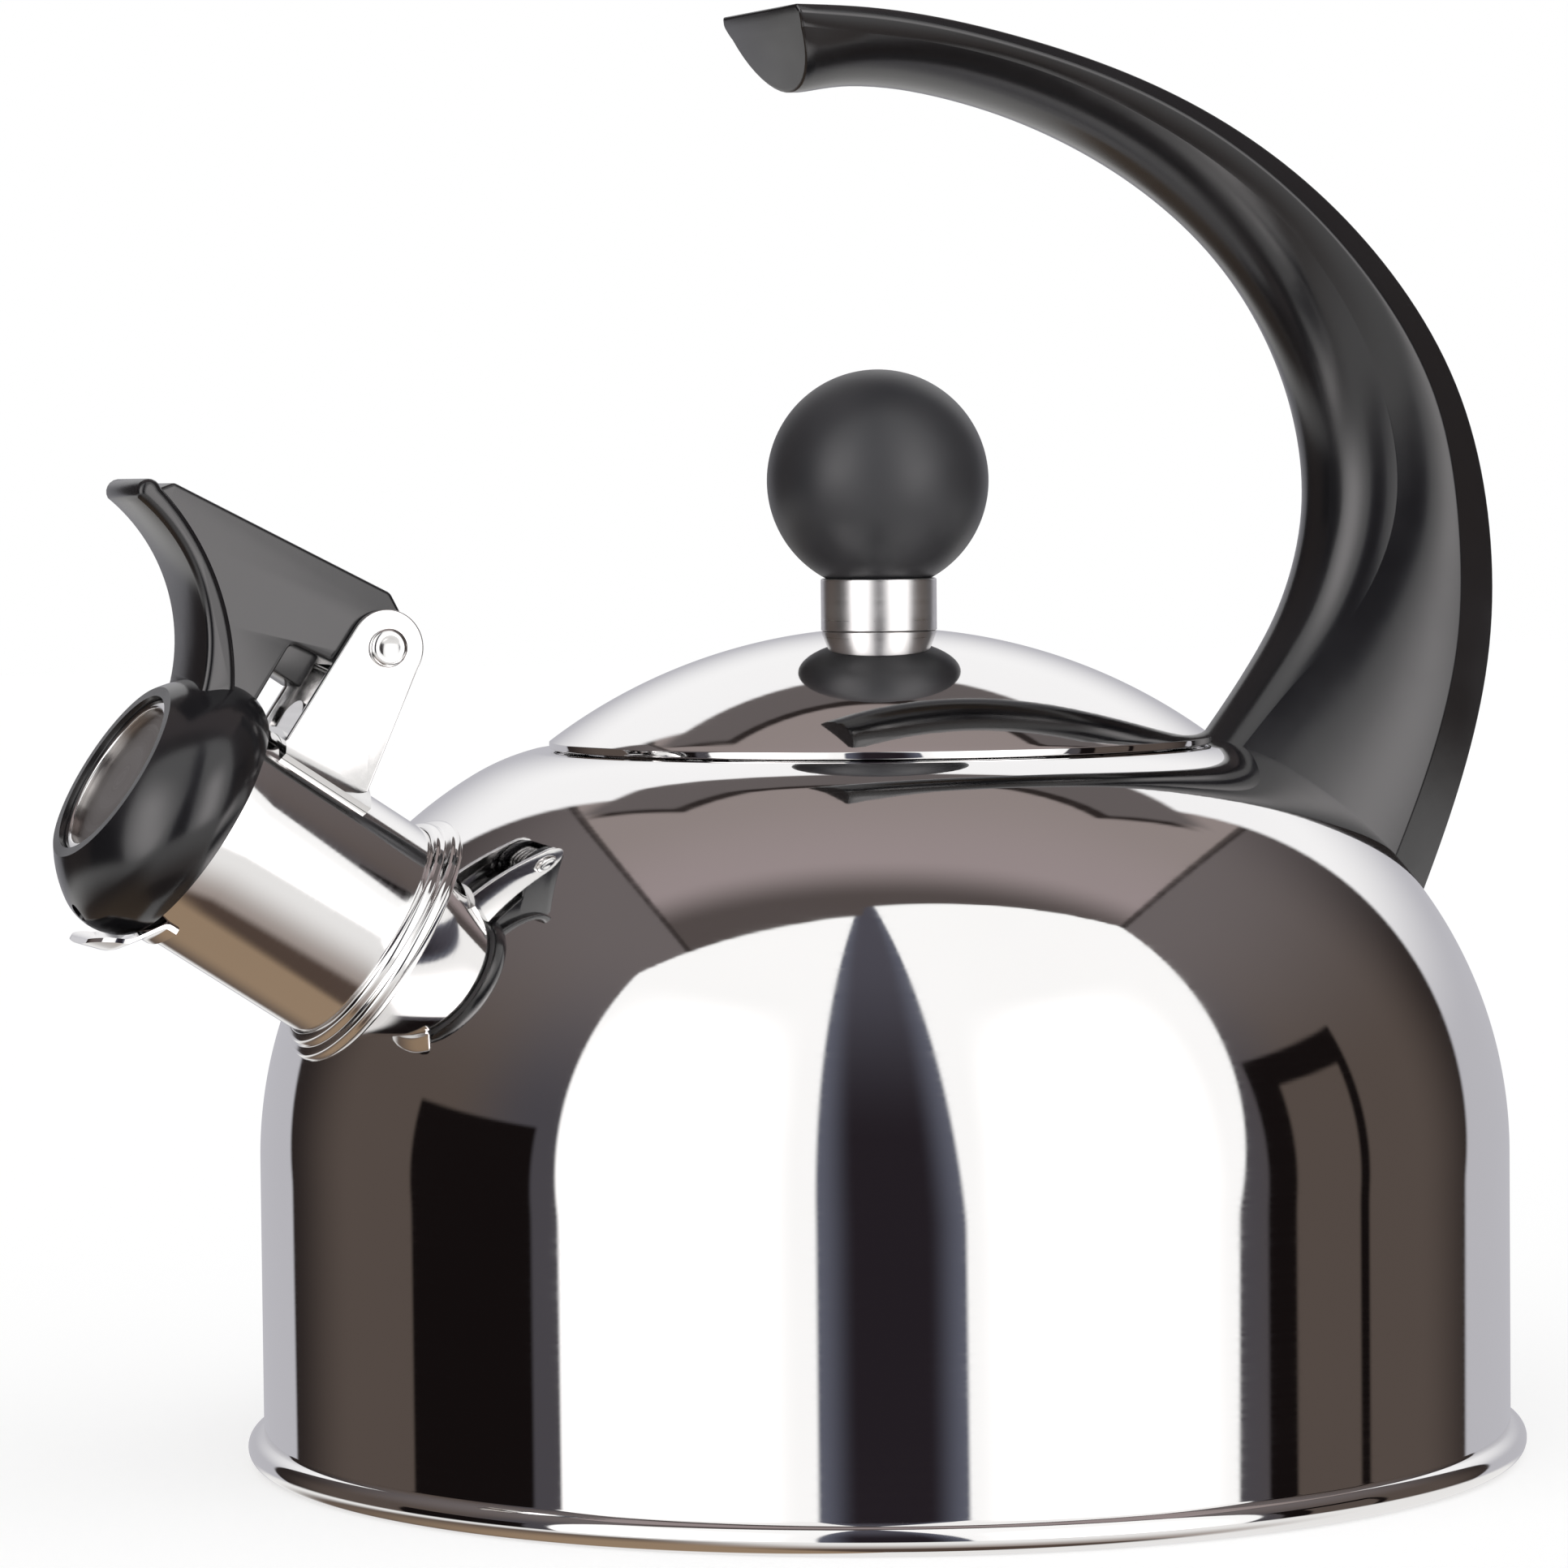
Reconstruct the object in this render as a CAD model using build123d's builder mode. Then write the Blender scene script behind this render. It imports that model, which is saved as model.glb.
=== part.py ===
"""Stovetop whistling kettle: a drawn steel body on a seamed base, a lift-off lid with a ball
knob, a one-armed bakelite handle and a sprung whistle flap on a straight spout.

Millimetres, +Z up. The origin is on the kettle's axis at the level that it stands on, the
spout points towards -X and the handle is on +X."""

import os
from math import asin, cos, degrees, pi, radians, sin, sqrt

from build123d import *

os.makedirs("parts", exist_ok=True)

# Fits between pieces
sheet = 0.8
weld_gap = 0.05
running_gap = 0.06
moving_gap = 0.3

# Body: straight wall, round shoulder, tighter crown and a flat seat around the lid's mouth
body_radius = 98.0
wall_height = 47.3
shoulder_radius = 69.3
crown_angle = 59.3
crown_radius = 35.0
seat_angle = 75.8
mouth_round = 1.4
mouth_radius = 46.5
mouth_lip = 5.5
flange_reach = 1.2

# Base: flat disc, and the rolled seam that joins it to the body's flange
seam_round = 2.4
seam_overhang = 0.1
seam_lap = 2.5

# Lid and its knob
lid_radius = 52.0
lid_rise = 17.3
lid_sheet = 0.7
lid_hem = 1.1
skirt_gap = 0.6
skirt_depth = 7.0
knob_radius = 17.4
ferrule_radius = 9.1
ferrule_height = 7.8
knob_insert_radius = 4.0
knob_insert_length = 14.0
lid_screw_radius = 2.0
lid_screw_grip = 11.0
lid_screw_head_radius = 4.0
lid_screw_head_height = 2.8
lid_washer_radius = 8.0
lid_washer_thickness = 1.0

# Spout: straight tube with a beaded collar where it leaves the shoulder
spout_elevation = 33.0
spout_radius = 18.0
spout_reach = 33.3
spout_tuck = 6.0
collar_radius = 21.0
collar_thickness = 1.3
bead_radius = 19.5
bead_height = 2.6
lip_half_width = 9.0
lip_sheet = 0.7
lip_root = 5.6
lip_step = 3.6
lip_clear = 4.5
lip_reach = 4.2
lip_flare = 1.2
lip_corner = 5.0

# Hinge of the flap: bracket on top of the spout, rivet and torsion spring
pin_back = 11.5
pin_height = 37.2
pin_radius = 2.0
pin_head_radius = 3.0
pin_head_height = 1.3
pin_head_round = 0.9
bracket_sheet = 1.2
saddle_sheet = 1.0
saddle_half_width = 12.0
saddle_back = 20.8
saddle_front = 5.0
ear_gap = 0.5
ear_radius = 5.8
ear_back = 20.4
ear_front = 5.2
tongue_half_width = 4.5
tongue_top = 24.5
wire = 1.0
spring_radius = 3.1
spring_pitch = 1.55
spring_turns = 3.75
spring_foot = 16.4
spring_arm = 13.5

# Whistle flap: cap over the spout's end, web to the hinge, curved thumb horn
web_half_width = 6.4
barrel_radius = 5.3
slot_half_width = 4.4
slot_radius = 4.6
web_under = 30.0
neck_back = 1.3
rib_half_width = 4.0
rib_reach = 5.5
rib_depth = 4.5
horn_half_width = 8.5
horn_foot = 13.0
horn_face = ((10.5, 17.5), (17.6, 28.3), (33.3, 35.4))
horn_back = ((4.8, 18.0), (12.2, 28.0), (31.2, 38.6))
horn_tip = (34.2, 37.8)
web_tip = (29.4, 40.6)
web_corner = (-8.1, 44.8)
horn_round = 1.2
cap_skirt = 1.4
cap_skirt_wall = 0.6
cap_skirt_gap = 1.0
cap_radius = 21.0
cap_widest = 1.6
cap_brow = 7.6
cap_brow_drop = 1.0
cap_length = 13.2
cap_face_radius = 14.8
gasket_thickness = 1.2
gasket_inner = 15.6
whistle_depth = 3.2
whistle_sheet = 0.8
whistle_hole = 1.6
chamber_radius = 12.0
chamber_depth = 3.2
vent_radius = 1.5
badge_radius = 13.2
badge_sheet = 0.8
badge_recess = 2.6
badge_ring_width = 1.5
badge_ring_height = 0.9

# Handle: one bakelite arm from the shoulder up over the lid
handle_half_width = 15.0
handle_bevel_slope = 0.62
handle_root_drop = 14.8
handle_screw_drops = (19.5, 5.0)
handle_insert_radius = 4.0
handle_insert_length = 13.0
handle_screw_radius = 2.5
handle_screw_grip = 10.0
handle_screw_head_radius = 4.6
handle_screw_head_height = 3.2
handle_washer_radius = 6.0
handle_washer_thickness = 1.2
handle_seal_radius = 7.0
handle_seal_thickness = 1.5

# Stations along the handle, tip first: outer edge from the middle of the root (out, up), the
# direction inwards in degrees, thickness, bevel depth, height and half width of the inner ridge
handle_stations = (
    (-97.9, 129.6, -67.0, 13.7, 1.2, 10.0, 13.8),
    (-86.1, 129.4, -90.0, 11.6, 1.4, 7.6, 13.8),
    (-59.0, 125.3, -104.0, 9.9, 1.8, 5.8, 13.6),
    (-30.5, 116.2, -115.0, 11.6, 2.6, 5.8, 13.3),
    (-8.5, 103.7, -128.0, 14.5, 4.0, 6.8, 12.9),
    (7.1, 89.7, -146.0, 18.2, 5.2, 8.0, 12.5),
    (20.1, 70.8, -166.0, 23.2, 6.7, 9.2, 12.0),
    (26.8, 48.1, -182.0, 28.3, 8.9, 9.2, 11.5),
    (26.8, 28.2, -192.0, 33.5, 9.4, 6.8, 10.0),
    (22.8, 10.4, -204.0, 38.0, 9.9, 4.4, 8.0),
    (11.2, -19.1, -214.4, 46.4, 11.2, 3.2, 6.5),
)


def finish(piece, name):
    """Label a finished piece and write it."""
    piece.part.label = name
    export_step(piece.part, f"parts/{name}.step")


# Sizes worked out from the ones above
shoulder_centre = body_radius - shoulder_radius
crown_centre = (
    shoulder_centre + (shoulder_radius - crown_radius) * cos(radians(crown_angle)),
    wall_height + (shoulder_radius - crown_radius) * sin(radians(crown_angle)),
)
rim_z = crown_centre[1] + crown_radius * sin(radians(seat_angle))
seam_centre = body_radius + seam_overhang
flange_z = seam_round - sheet / 2
handle_root_angle = crown_angle - handle_root_drop
handle_screw_angles = tuple(crown_angle - drop for drop in handle_screw_drops)


def shoulder_point(angle, inside=0.0):
    """Point of the round shoulder at an angle above the horizontal, this far under its skin."""
    reach = shoulder_radius - inside
    return (
        shoulder_centre + reach * cos(radians(angle)),
        wall_height + reach * sin(radians(angle)),
    )


def draw_skin(inside, low):
    """Draw one skin of the body, from a level on the wall up to the edge of the flat seat."""
    wall = Line((body_radius - inside, low), (body_radius - inside, wall_height))
    CenterArc((shoulder_centre, wall_height), shoulder_radius - inside, 0, crown_angle)
    skin_radius = crown_radius - inside
    end_angle = degrees(asin((rim_z - inside - crown_centre[1]) / skin_radius))
    crown = CenterArc(crown_centre, skin_radius, crown_angle, end_angle - crown_angle)
    return wall @ 0, crown @ 1


def shoulder_form(grow):
    """Solid of the body's outside, grown a little, for cutting what sits on the body."""
    with BuildPart() as form:
        with BuildSketch(Plane.XZ):
            with BuildLine():
                low, edge = draw_skin(-grow, wall_height / 2)
                Polyline(edge, (0, edge.Y), (0, low.Y), low)
            make_face()
        revolve(axis=Axis.Z)
    return form.part


# Body shell
with BuildPart() as body_shell:
    with BuildSketch(Plane.XZ) as body_section:
        with BuildLine():
            outer_low, outer_edge = draw_skin(0, flange_z + sheet)
            inner_low, inner_edge = draw_skin(sheet, flange_z)
            Polyline(outer_edge, (0, rim_z), (0, rim_z - sheet), inner_edge)
            Polyline(
                inner_low,
                (body_radius + flange_reach, flange_z),
                (body_radius + flange_reach, flange_z + sheet),
                outer_low,
            )
        make_face()
        with Locations((mouth_radius, rim_z - sheet)):
            Rectangle(sheet, mouth_lip - sheet, align=(Align.MIN, Align.MAX))
        with Locations((0, rim_z)):
            Rectangle(
                mouth_radius,
                2 * mouth_lip + sheet,
                align=(Align.MIN, Align.CENTER),
                mode=Mode.SUBTRACT,
            )
        for corner, corner_round in (
            ((mouth_radius, rim_z, 0), mouth_round),
            ((mouth_radius + sheet, rim_z - sheet, 0), mouth_round - sheet),
        ):
            fillet(body_section.vertices().sort_by_distance(corner)[0], corner_round)
    revolve(axis=Axis.Z)

# Spout directions and planes: out along the tube, and across it away from the ground
spout_out = Vector(-cos(radians(spout_elevation)), 0, sin(radians(spout_elevation)))
spout_up = Vector(sin(radians(spout_elevation)), 0, cos(radians(spout_elevation)))
spout_origin = Vector(-shoulder_centre, 0, wall_height)
spout_plane = Plane(spout_origin, x_dir=spout_up, z_dir=spout_out)
spout_end = shoulder_radius + spout_reach
end_plane = spout_plane.offset(spout_end)
side_plane = Plane(end_plane.origin, x_dir=spout_out, z_dir=(0, 1, 0))
spout_axis = Axis(end_plane.origin, spout_out)

with body_shell:
    with BuildSketch(spout_plane):
        Circle(spout_radius + weld_gap)
    extrude(amount=spout_end, mode=Mode.SUBTRACT)


def handle_screw_plane(angle, inside=0.0):
    """Plane square to the shoulder under the handle, facing out of the kettle."""
    x, z = shoulder_point(angle, inside)
    direction = (cos(radians(angle)), 0, sin(radians(angle)))
    return Plane((x, 0, z), x_dir=(0, 1, 0), z_dir=direction)


def drill_handle_holes(radius, start, length):
    """Cut a round hole at both of the handle's screws, from a height above the skin."""
    for angle in handle_screw_angles:
        with BuildSketch(handle_screw_plane(angle).offset(start)) as hole:
            Circle(radius)
        extrude(hole.sketch, amount=length, mode=Mode.SUBTRACT)


with body_shell:
    drill_handle_holes(handle_screw_radius + weld_gap, -2 * sheet, 3 * sheet)
finish(body_shell, "body_shell")

# Base plate: a flat disc inside the seam
base_radius = seam_centre - seam_lap
with BuildPart() as base_plate:
    with BuildSketch():
        Circle(base_radius)
    extrude(amount=sheet)
finish(base_plate, "base_plate")

# Base seam: the rolled bead round the foot that closes over the body's flange
with BuildPart() as base_seam:
    with BuildSketch(Plane.XZ):
        with Locations((seam_centre, 0)):
            Rectangle(seam_lap - weld_gap, sheet, align=(Align.MAX, Align.MIN))
        with Locations((seam_centre, seam_round)):
            Circle(seam_round)
        slot_height = 2 * seam_round
        with Locations((body_radius - sheet, flange_z)):
            Rectangle(sheet, slot_height, align=(Align.MIN, Align.MIN), mode=Mode.SUBTRACT)
            Rectangle(
                sheet + flange_reach,
                sheet,
                align=(Align.MIN, Align.MIN),
                mode=Mode.SUBTRACT,
            )
    revolve(axis=Axis.Z)
finish(base_seam, "base_seam")

# Spout tube, let into the shoulder
with BuildPart() as spout_tube:
    with BuildSketch(spout_plane.offset(shoulder_radius - spout_tuck)):
        Circle(spout_radius)
        Circle(spout_radius - sheet, mode=Mode.SUBTRACT)
    extrude(amount=spout_tuck + spout_reach)
finish(spout_tube, "spout_tube")

# Collar: two thin stepped rings that follow the shoulder round the tube
with BuildPart() as spout_collar:
    with BuildSketch(spout_plane):
        Circle(collar_radius)
        Circle(spout_radius + weld_gap, mode=Mode.SUBTRACT)
    extrude(amount=spout_end)
    add(shoulder_form(collar_thickness), mode=Mode.INTERSECT)
with BuildPart() as collar_bead:
    with BuildSketch(spout_plane):
        Circle(bead_radius)
        Circle(spout_radius + weld_gap, mode=Mode.SUBTRACT)
    extrude(amount=spout_end)
    add(shoulder_form(bead_height), mode=Mode.INTERSECT)
with spout_collar:
    add(collar_bead.part)
    add(shoulder_form(weld_gap), mode=Mode.SUBTRACT)
finish(spout_collar, "spout_collar")

# Pouring lip: a pressed tongue welded under the spout's end, below the cap
lip_root_radius = spout_radius + weld_gap
lip_mid_radius = lip_root_radius + lip_clear
lip_end_radius = lip_mid_radius + lip_flare
lip_bend = -lip_step + lip_clear * 0.8
with BuildPart() as pour_lip:
    with BuildSketch(side_plane):
        with BuildLine():
            inner_root = Line((-lip_root, lip_root_radius), (-lip_step, lip_root_radius))
            inner_bend = Line(inner_root @ 1, (lip_bend, lip_mid_radius))
            inner_end = Line(inner_bend @ 1, (lip_reach, lip_end_radius))
            Polyline(
                inner_end @ 1,
                (lip_reach, lip_end_radius + lip_sheet),
                (lip_bend - lip_sheet / 3, lip_mid_radius + lip_sheet),
                (-lip_step - lip_sheet / 2, lip_root_radius + lip_sheet),
                (-lip_root, lip_root_radius + lip_sheet),
                inner_root @ 0,
            )
        make_face()
    revolve(axis=spout_axis)
    with BuildSketch(Plane(end_plane.origin, x_dir=spout_out, z_dir=-spout_up)) as tongue_plan:
        with Locations((-lip_root, 0)):
            Rectangle(
                lip_root + lip_reach, 2 * lip_half_width, align=(Align.MIN, Align.CENTER)
            )
        fillet(tongue_plan.vertices().group_by(Axis.X)[-1], lip_corner)
    extrude(amount=2 * lip_end_radius, mode=Mode.INTERSECT)
finish(pour_lip, "pour_lip")

# Hinge bracket: saddle on the spout, two ears for the rivet and a tongue for the spring
saddle_inner = spout_radius + weld_gap
saddle_outer = saddle_inner + saddle_sheet
saddle_angle = degrees(asin(saddle_half_width / saddle_outer))
ear_inner = web_half_width + ear_gap
ear_outer = ear_inner + bracket_sheet
ear_foot = sqrt(saddle_outer**2 - ear_outer**2) - saddle_sheet / 4
tongue_foot = sqrt(saddle_outer**2 - tongue_half_width**2) - saddle_sheet / 4
tongue_back = -pin_back + spring_radius + wire / 2 + moving_gap
with BuildPart() as hinge_bracket:
    with BuildSketch(end_plane.offset(-saddle_back)):
        with BuildLine():
            under = CenterArc((0, 0), saddle_inner, -saddle_angle, 2 * saddle_angle)
            top = CenterArc((0, 0), saddle_outer, -saddle_angle, 2 * saddle_angle)
            Line(under @ 0, top @ 0)
            Line(under @ 1, top @ 1)
        make_face()
    extrude(amount=saddle_back - saddle_front)
    for ear_side in (-ear_outer, ear_inner):
        with BuildSketch(side_plane.offset(ear_side)):
            with BuildLine():
                front = Line((-ear_front, ear_foot), (-pin_back + ear_radius, pin_height))
                crown = CenterArc((-pin_back, pin_height), ear_radius, 0, 180)
                Polyline(crown @ 1, (-ear_back, ear_foot), front @ 0)
            make_face()
            with Locations((-pin_back, pin_height)):
                Circle(pin_radius + weld_gap, mode=Mode.SUBTRACT)
        extrude(amount=bracket_sheet)
    with BuildSketch(end_plane.offset(tongue_back)):
        with BuildLine():
            left = Line(
                (tongue_foot, -tongue_half_width),
                (tongue_top - tongue_half_width, -tongue_half_width),
            )
            crest = ThreePointArc(
                left @ 1,
                (tongue_top, 0),
                (tongue_top - tongue_half_width, tongue_half_width),
            )
            Polyline(crest @ 1, (tongue_foot, tongue_half_width), left @ 0)
        make_face()
    extrude(amount=bracket_sheet)
finish(hinge_bracket, "hinge_bracket")

# Hinge pin: a rivet through both ears
with BuildPart() as hinge_pin:
    with BuildSketch(side_plane.offset(-ear_outer)):
        with Locations((-pin_back, pin_height)):
            Circle(pin_radius)
    extrude(amount=2 * ear_outer)
    for head_side in (-ear_outer - pin_head_height, ear_outer):
        with BuildSketch(side_plane.offset(head_side)):
            with Locations((-pin_back, pin_height)):
                Circle(pin_head_radius)
        extrude(amount=pin_head_height)
    head_rims = hinge_pin.edges().filter_by(GeomType.CIRCLE).group_by(Axis.Y)
    fillet(head_rims[0] + head_rims[-1], pin_head_round)
finish(hinge_pin, "hinge_pin")


def beside_spout(out, up, across):
    """Vector along the spout, away from the ground across it, and sideways."""
    return spout_out * out + spout_up * up + Vector(0, across, 0)


def spring_point(turn):
    """Point of the spring's coil after a number of turns."""
    return end_plane.origin + beside_spout(
        -pin_back + spring_radius * cos(2 * pi * turn),
        pin_height + spring_radius * sin(2 * pi * turn),
        spring_pitch * (turn - spring_turns / 2),
    )


def spring_heading(turn):
    """Direction of the wire after a number of turns."""
    return beside_spout(
        -sin(2 * pi * turn), cos(2 * pi * turn), spring_pitch / (2 * pi * spring_radius)
    ).normalized()


def biarc_middle(start, start_heading, end, end_heading):
    """Point where the two arcs meet that join two points with these headings."""
    span = end - start
    both = start_heading + end_heading
    spread = 2 * (1 - start_heading.dot(end_heading))
    along = span.dot(both)
    reach = (sqrt(along**2 + spread * span.dot(span)) - along) / spread
    return (start + start_heading * reach + end - end_heading * reach) * 0.5


# Torsion spring on the rivet: one leg behind the bracket's tongue, one arm under the web
quarter_turns = round(spring_turns * 4)
with BuildPart() as flap_spring:
    with BuildLine() as spring_path:
        leg_end = spring_point(0) - spring_heading(0) * spring_foot
        Line(leg_end, spring_point(0))
        for quarter in range(quarter_turns):
            turn_a = quarter * spring_turns / quarter_turns
            turn_b = (quarter + 1) * spring_turns / quarter_turns
            point_a = spring_point(turn_a)
            point_b = spring_point(turn_b)
            middle = biarc_middle(
                point_a, spring_heading(turn_a), point_b, spring_heading(turn_b)
            )
            TangentArc(point_a, middle, tangent=spring_heading(turn_a))
            TangentArc(point_b, middle, tangent=spring_heading(turn_b) * -1)
        coil_end = spring_point(spring_turns)
        Line(coil_end, coil_end + spring_heading(spring_turns) * spring_arm)
    with BuildSketch(Plane(spring_path.wire() @ 0, z_dir=spring_path.wire() % 0)):
        Circle(wire / 2)
    sweep(path=spring_path.wire())
finish(flap_spring, "flap_spring")

# The least gap between neighbouring turns of the wire, measured on points along the coil
points_per_turn = 48
coil_points = [
    spring_point(step / points_per_turn)
    for step in range(round(spring_turns * points_per_turn) + 1)
]
turn_gap = min(
    (coil_points[j] - coil_points[i]).length - wire
    for i in range(len(coil_points))
    for j in range(i + points_per_turn // 2, len(coil_points))
)
print(f"least gap between the spring's turns {turn_gap:.2f} mm")

# Sizes of the cap along the spout, from the tube's end outwards
seat_out = moving_gap + gasket_thickness
pocket_out = seat_out + whistle_depth
chamber_out = pocket_out + chamber_depth
cap_bore = spout_radius + cap_skirt_gap
horn_core = tuple(
    ((face[0] + back[0]) / 2, (face[1] + back[1]) / 2)
    for face, back in zip(horn_face, horn_back)
)

# Thumb horn, made first so that its long edges can be rounded
# The flap is drawn about the middle of the spout's end and then put in its place
flap_end = Plane((0, 0, 0), x_dir=spout_up, z_dir=spout_out)
flap_side = Plane((0, 0, 0), x_dir=spout_out, z_dir=(0, 1, 0))
flap_axis = Axis((0, 0, 0), spout_out)
with BuildPart() as horn_form:
    with BuildSketch(flap_side):
        with BuildLine():
            ThreePointArc(*horn_face)
            ThreePointArc(horn_face[-1], horn_tip, horn_back[-1])
            ThreePointArc(*horn_back)
            Polyline(
                horn_back[0],
                (horn_back[0][0], horn_foot),
                (horn_back[0][0] + horn_half_width / 2, horn_foot),
                horn_face[0],
            )
        make_face()
    extrude(amount=horn_half_width, both=True)
    sides = horn_form.faces().sort_by(Axis.Y)
    fillet(sides[0].edges() + sides[-1].edges(), horn_round)

# Whistle flap: cap, web and horn in one moulding, hollow for the gasket and the whistle
with BuildPart() as flap_form:
    with BuildSketch(flap_side):
        with BuildLine():
            skirt_edge = (-cap_skirt, cap_bore + cap_skirt_wall)
            flank = ThreePointArc(
                skirt_edge, (cap_widest, cap_radius), (cap_brow, cap_radius - cap_brow_drop)
            )
            brow = TangentArc(flank @ 1, (cap_length, cap_face_radius), tangent=flank % 1)
            Polyline(brow @ 1, (cap_length, 0), (-cap_skirt, 0), skirt_edge)
        make_face()
    revolve(axis=flap_axis)
    add(horn_form.part)
    with BuildSketch(flap_side):
        with BuildLine():
            ThreePointArc(*horn_core)
            Polyline(
                horn_core[-1],
                web_tip,
                web_corner,
                (-pin_back - barrel_radius / 2, pin_height + barrel_radius * 0.8),
                (-pin_back, pin_height - barrel_radius),
                (neck_back, web_under),
                (neck_back, horn_foot),
                (horn_core[0][0], horn_foot),
                horn_core[0],
            )
        make_face()
        with Locations((-pin_back, pin_height)):
            Circle(barrel_radius)
    extrude(amount=web_half_width, both=True)
    with BuildSketch(flap_side):
        with Locations((neck_back - rib_reach, web_under - rib_depth)):
            Rectangle(
                rib_reach + barrel_radius / 3,
                rib_depth + barrel_radius / 3,
                align=(Align.MIN, Align.MIN),
            )
    extrude(amount=rib_half_width, both=True)
    for depth, radius in (
        (seat_out, cap_bore),
        (pocket_out, gasket_inner),
        (chamber_out, chamber_radius),
    ):
        with BuildSketch(flap_end.offset(-cap_skirt)):
            Circle(radius)
        extrude(amount=cap_skirt + depth, mode=Mode.SUBTRACT)
    with BuildSketch(flap_end.offset(cap_length)):
        Circle(badge_radius + weld_gap)
    extrude(amount=-badge_recess, mode=Mode.SUBTRACT)
    vent_plane = Plane(flap_end.origin, x_dir=spout_out, z_dir=-spout_up)
    with BuildSketch(vent_plane.offset(chamber_radius / 2)):
        with Locations(((pocket_out + chamber_out) / 2, 0)):
            Circle(vent_radius)
    extrude(amount=cap_radius, mode=Mode.SUBTRACT)
    with BuildSketch(flap_side):
        with Locations((-pin_back, pin_height)):
            Circle(pin_radius + running_gap)
    extrude(amount=2 * web_half_width, both=True, mode=Mode.SUBTRACT)
    with BuildSketch(flap_side):
        with Locations((-pin_back, pin_height)):
            Circle(slot_radius)
            Rectangle(
                2 * barrel_radius,
                2 * slot_radius,
                align=(Align.MAX, Align.CENTER),
            )
            with Locations((slot_radius, 0)):
                Rectangle(
                    2 * barrel_radius,
                    2 * barrel_radius,
                    align=(Align.MAX, Align.MAX),
                )
    extrude(amount=slot_half_width, both=True, mode=Mode.SUBTRACT)
    arm_drift = spring_arm * spring_pitch / (2 * pi * spring_radius)
    arm_side = spring_pitch * spring_turns / 2
    with BuildSketch(flap_side.offset(arm_side - wire)):
        with Locations((-pin_back, pin_height - spring_radius)):
            Rectangle(
                spring_arm + wire,
                wire + 2 * moving_gap,
                align=(Align.MIN, Align.CENTER),
            )
    extrude(amount=arm_drift + 2 * wire, mode=Mode.SUBTRACT)
with BuildPart() as whistle_flap:
    add(flap_form.part.moved(Location(end_plane.origin)))
finish(whistle_flap, "whistle_flap")

# Badge: a bare steel disc with a raised ring, let into the cap's front
badge_seat = cap_length - badge_recess
with BuildPart() as badge_plate:
    with BuildSketch(end_plane.offset(badge_seat)):
        Circle(badge_radius)
    extrude(amount=badge_sheet)
finish(badge_plate, "badge_plate")
with BuildPart() as badge_ring:
    with BuildSketch(end_plane.offset(badge_seat + badge_sheet)):
        Circle(badge_radius)
        Circle(badge_radius - badge_ring_width, mode=Mode.SUBTRACT)
    extrude(amount=badge_ring_height)
    fillet(badge_ring.faces().sort_by(spout_axis)[-1].edges(), badge_ring_width / 4)
finish(badge_ring, "badge_ring")

# Silicone gasket that closes on the tube's end
with BuildPart() as cap_gasket:
    with BuildSketch(end_plane.offset(moving_gap)):
        Circle(cap_bore - weld_gap)
        Circle(gasket_inner, mode=Mode.SUBTRACT)
    extrude(amount=gasket_thickness)
finish(cap_gasket, "cap_gasket")

# Whistle: a cup and a plate with one small hole each, pushed into the cap
with BuildPart() as whistle_cup:
    with BuildSketch(end_plane.offset(seat_out)):
        Circle(gasket_inner - weld_gap)
    extrude(amount=whistle_depth - whistle_sheet)
    with BuildSketch(end_plane.offset(seat_out + whistle_sheet)):
        Circle(gasket_inner - weld_gap - whistle_sheet)
    extrude(amount=whistle_depth, mode=Mode.SUBTRACT)
    with BuildSketch(end_plane.offset(seat_out)):
        Circle(whistle_hole)
    extrude(amount=whistle_depth, mode=Mode.SUBTRACT)
finish(whistle_cup, "whistle_cup")
with BuildPart() as whistle_plate:
    with BuildSketch(end_plane.offset(pocket_out - whistle_sheet)):
        Circle(gasket_inner - weld_gap)
        Circle(whistle_hole, mode=Mode.SUBTRACT)
    extrude(amount=whistle_sheet)
finish(whistle_plate, "whistle_plate")

# Lid: a shallow round dome with a hemmed edge
lid_low = rim_z + moving_gap
lid_edge_z = lid_low + lid_hem
lid_ball = (lid_radius**2 + lid_rise**2) / (2 * lid_rise)
lid_top = lid_edge_z + lid_rise
lid_centre_z = lid_top - lid_ball
lid_hole = lid_screw_radius + weld_gap


def lid_z(radius, inside=0.0):
    """Height of the lid's skin at a radius, this far under its outside."""
    return lid_centre_z + sqrt((lid_ball - inside) ** 2 - radius**2)


with BuildPart() as lid_shell:
    with BuildSketch(Plane.XZ):
        with BuildLine():
            lid_inner_edge = lid_radius - lid_sheet
            crown_top = (lid_hole, lid_z(lid_hole))
            crown_low = (lid_hole, lid_z(lid_hole, lid_sheet))
            half_way = lid_radius / 2
            ThreePointArc(
                crown_top, (half_way, lid_z(half_way)), (lid_radius, lid_edge_z)
            )
            Polyline(
                (lid_radius, lid_edge_z),
                (lid_radius, lid_low),
                (lid_inner_edge, lid_low),
                (lid_inner_edge, lid_z(lid_inner_edge, lid_sheet)),
            )
            ThreePointArc(
                (lid_inner_edge, lid_z(lid_inner_edge, lid_sheet)),
                (half_way, lid_z(half_way, lid_sheet)),
                crown_low,
            )
            Line(crown_low, crown_top)
        make_face()
    revolve(axis=Axis.Z)
finish(lid_shell, "lid_shell")

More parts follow.
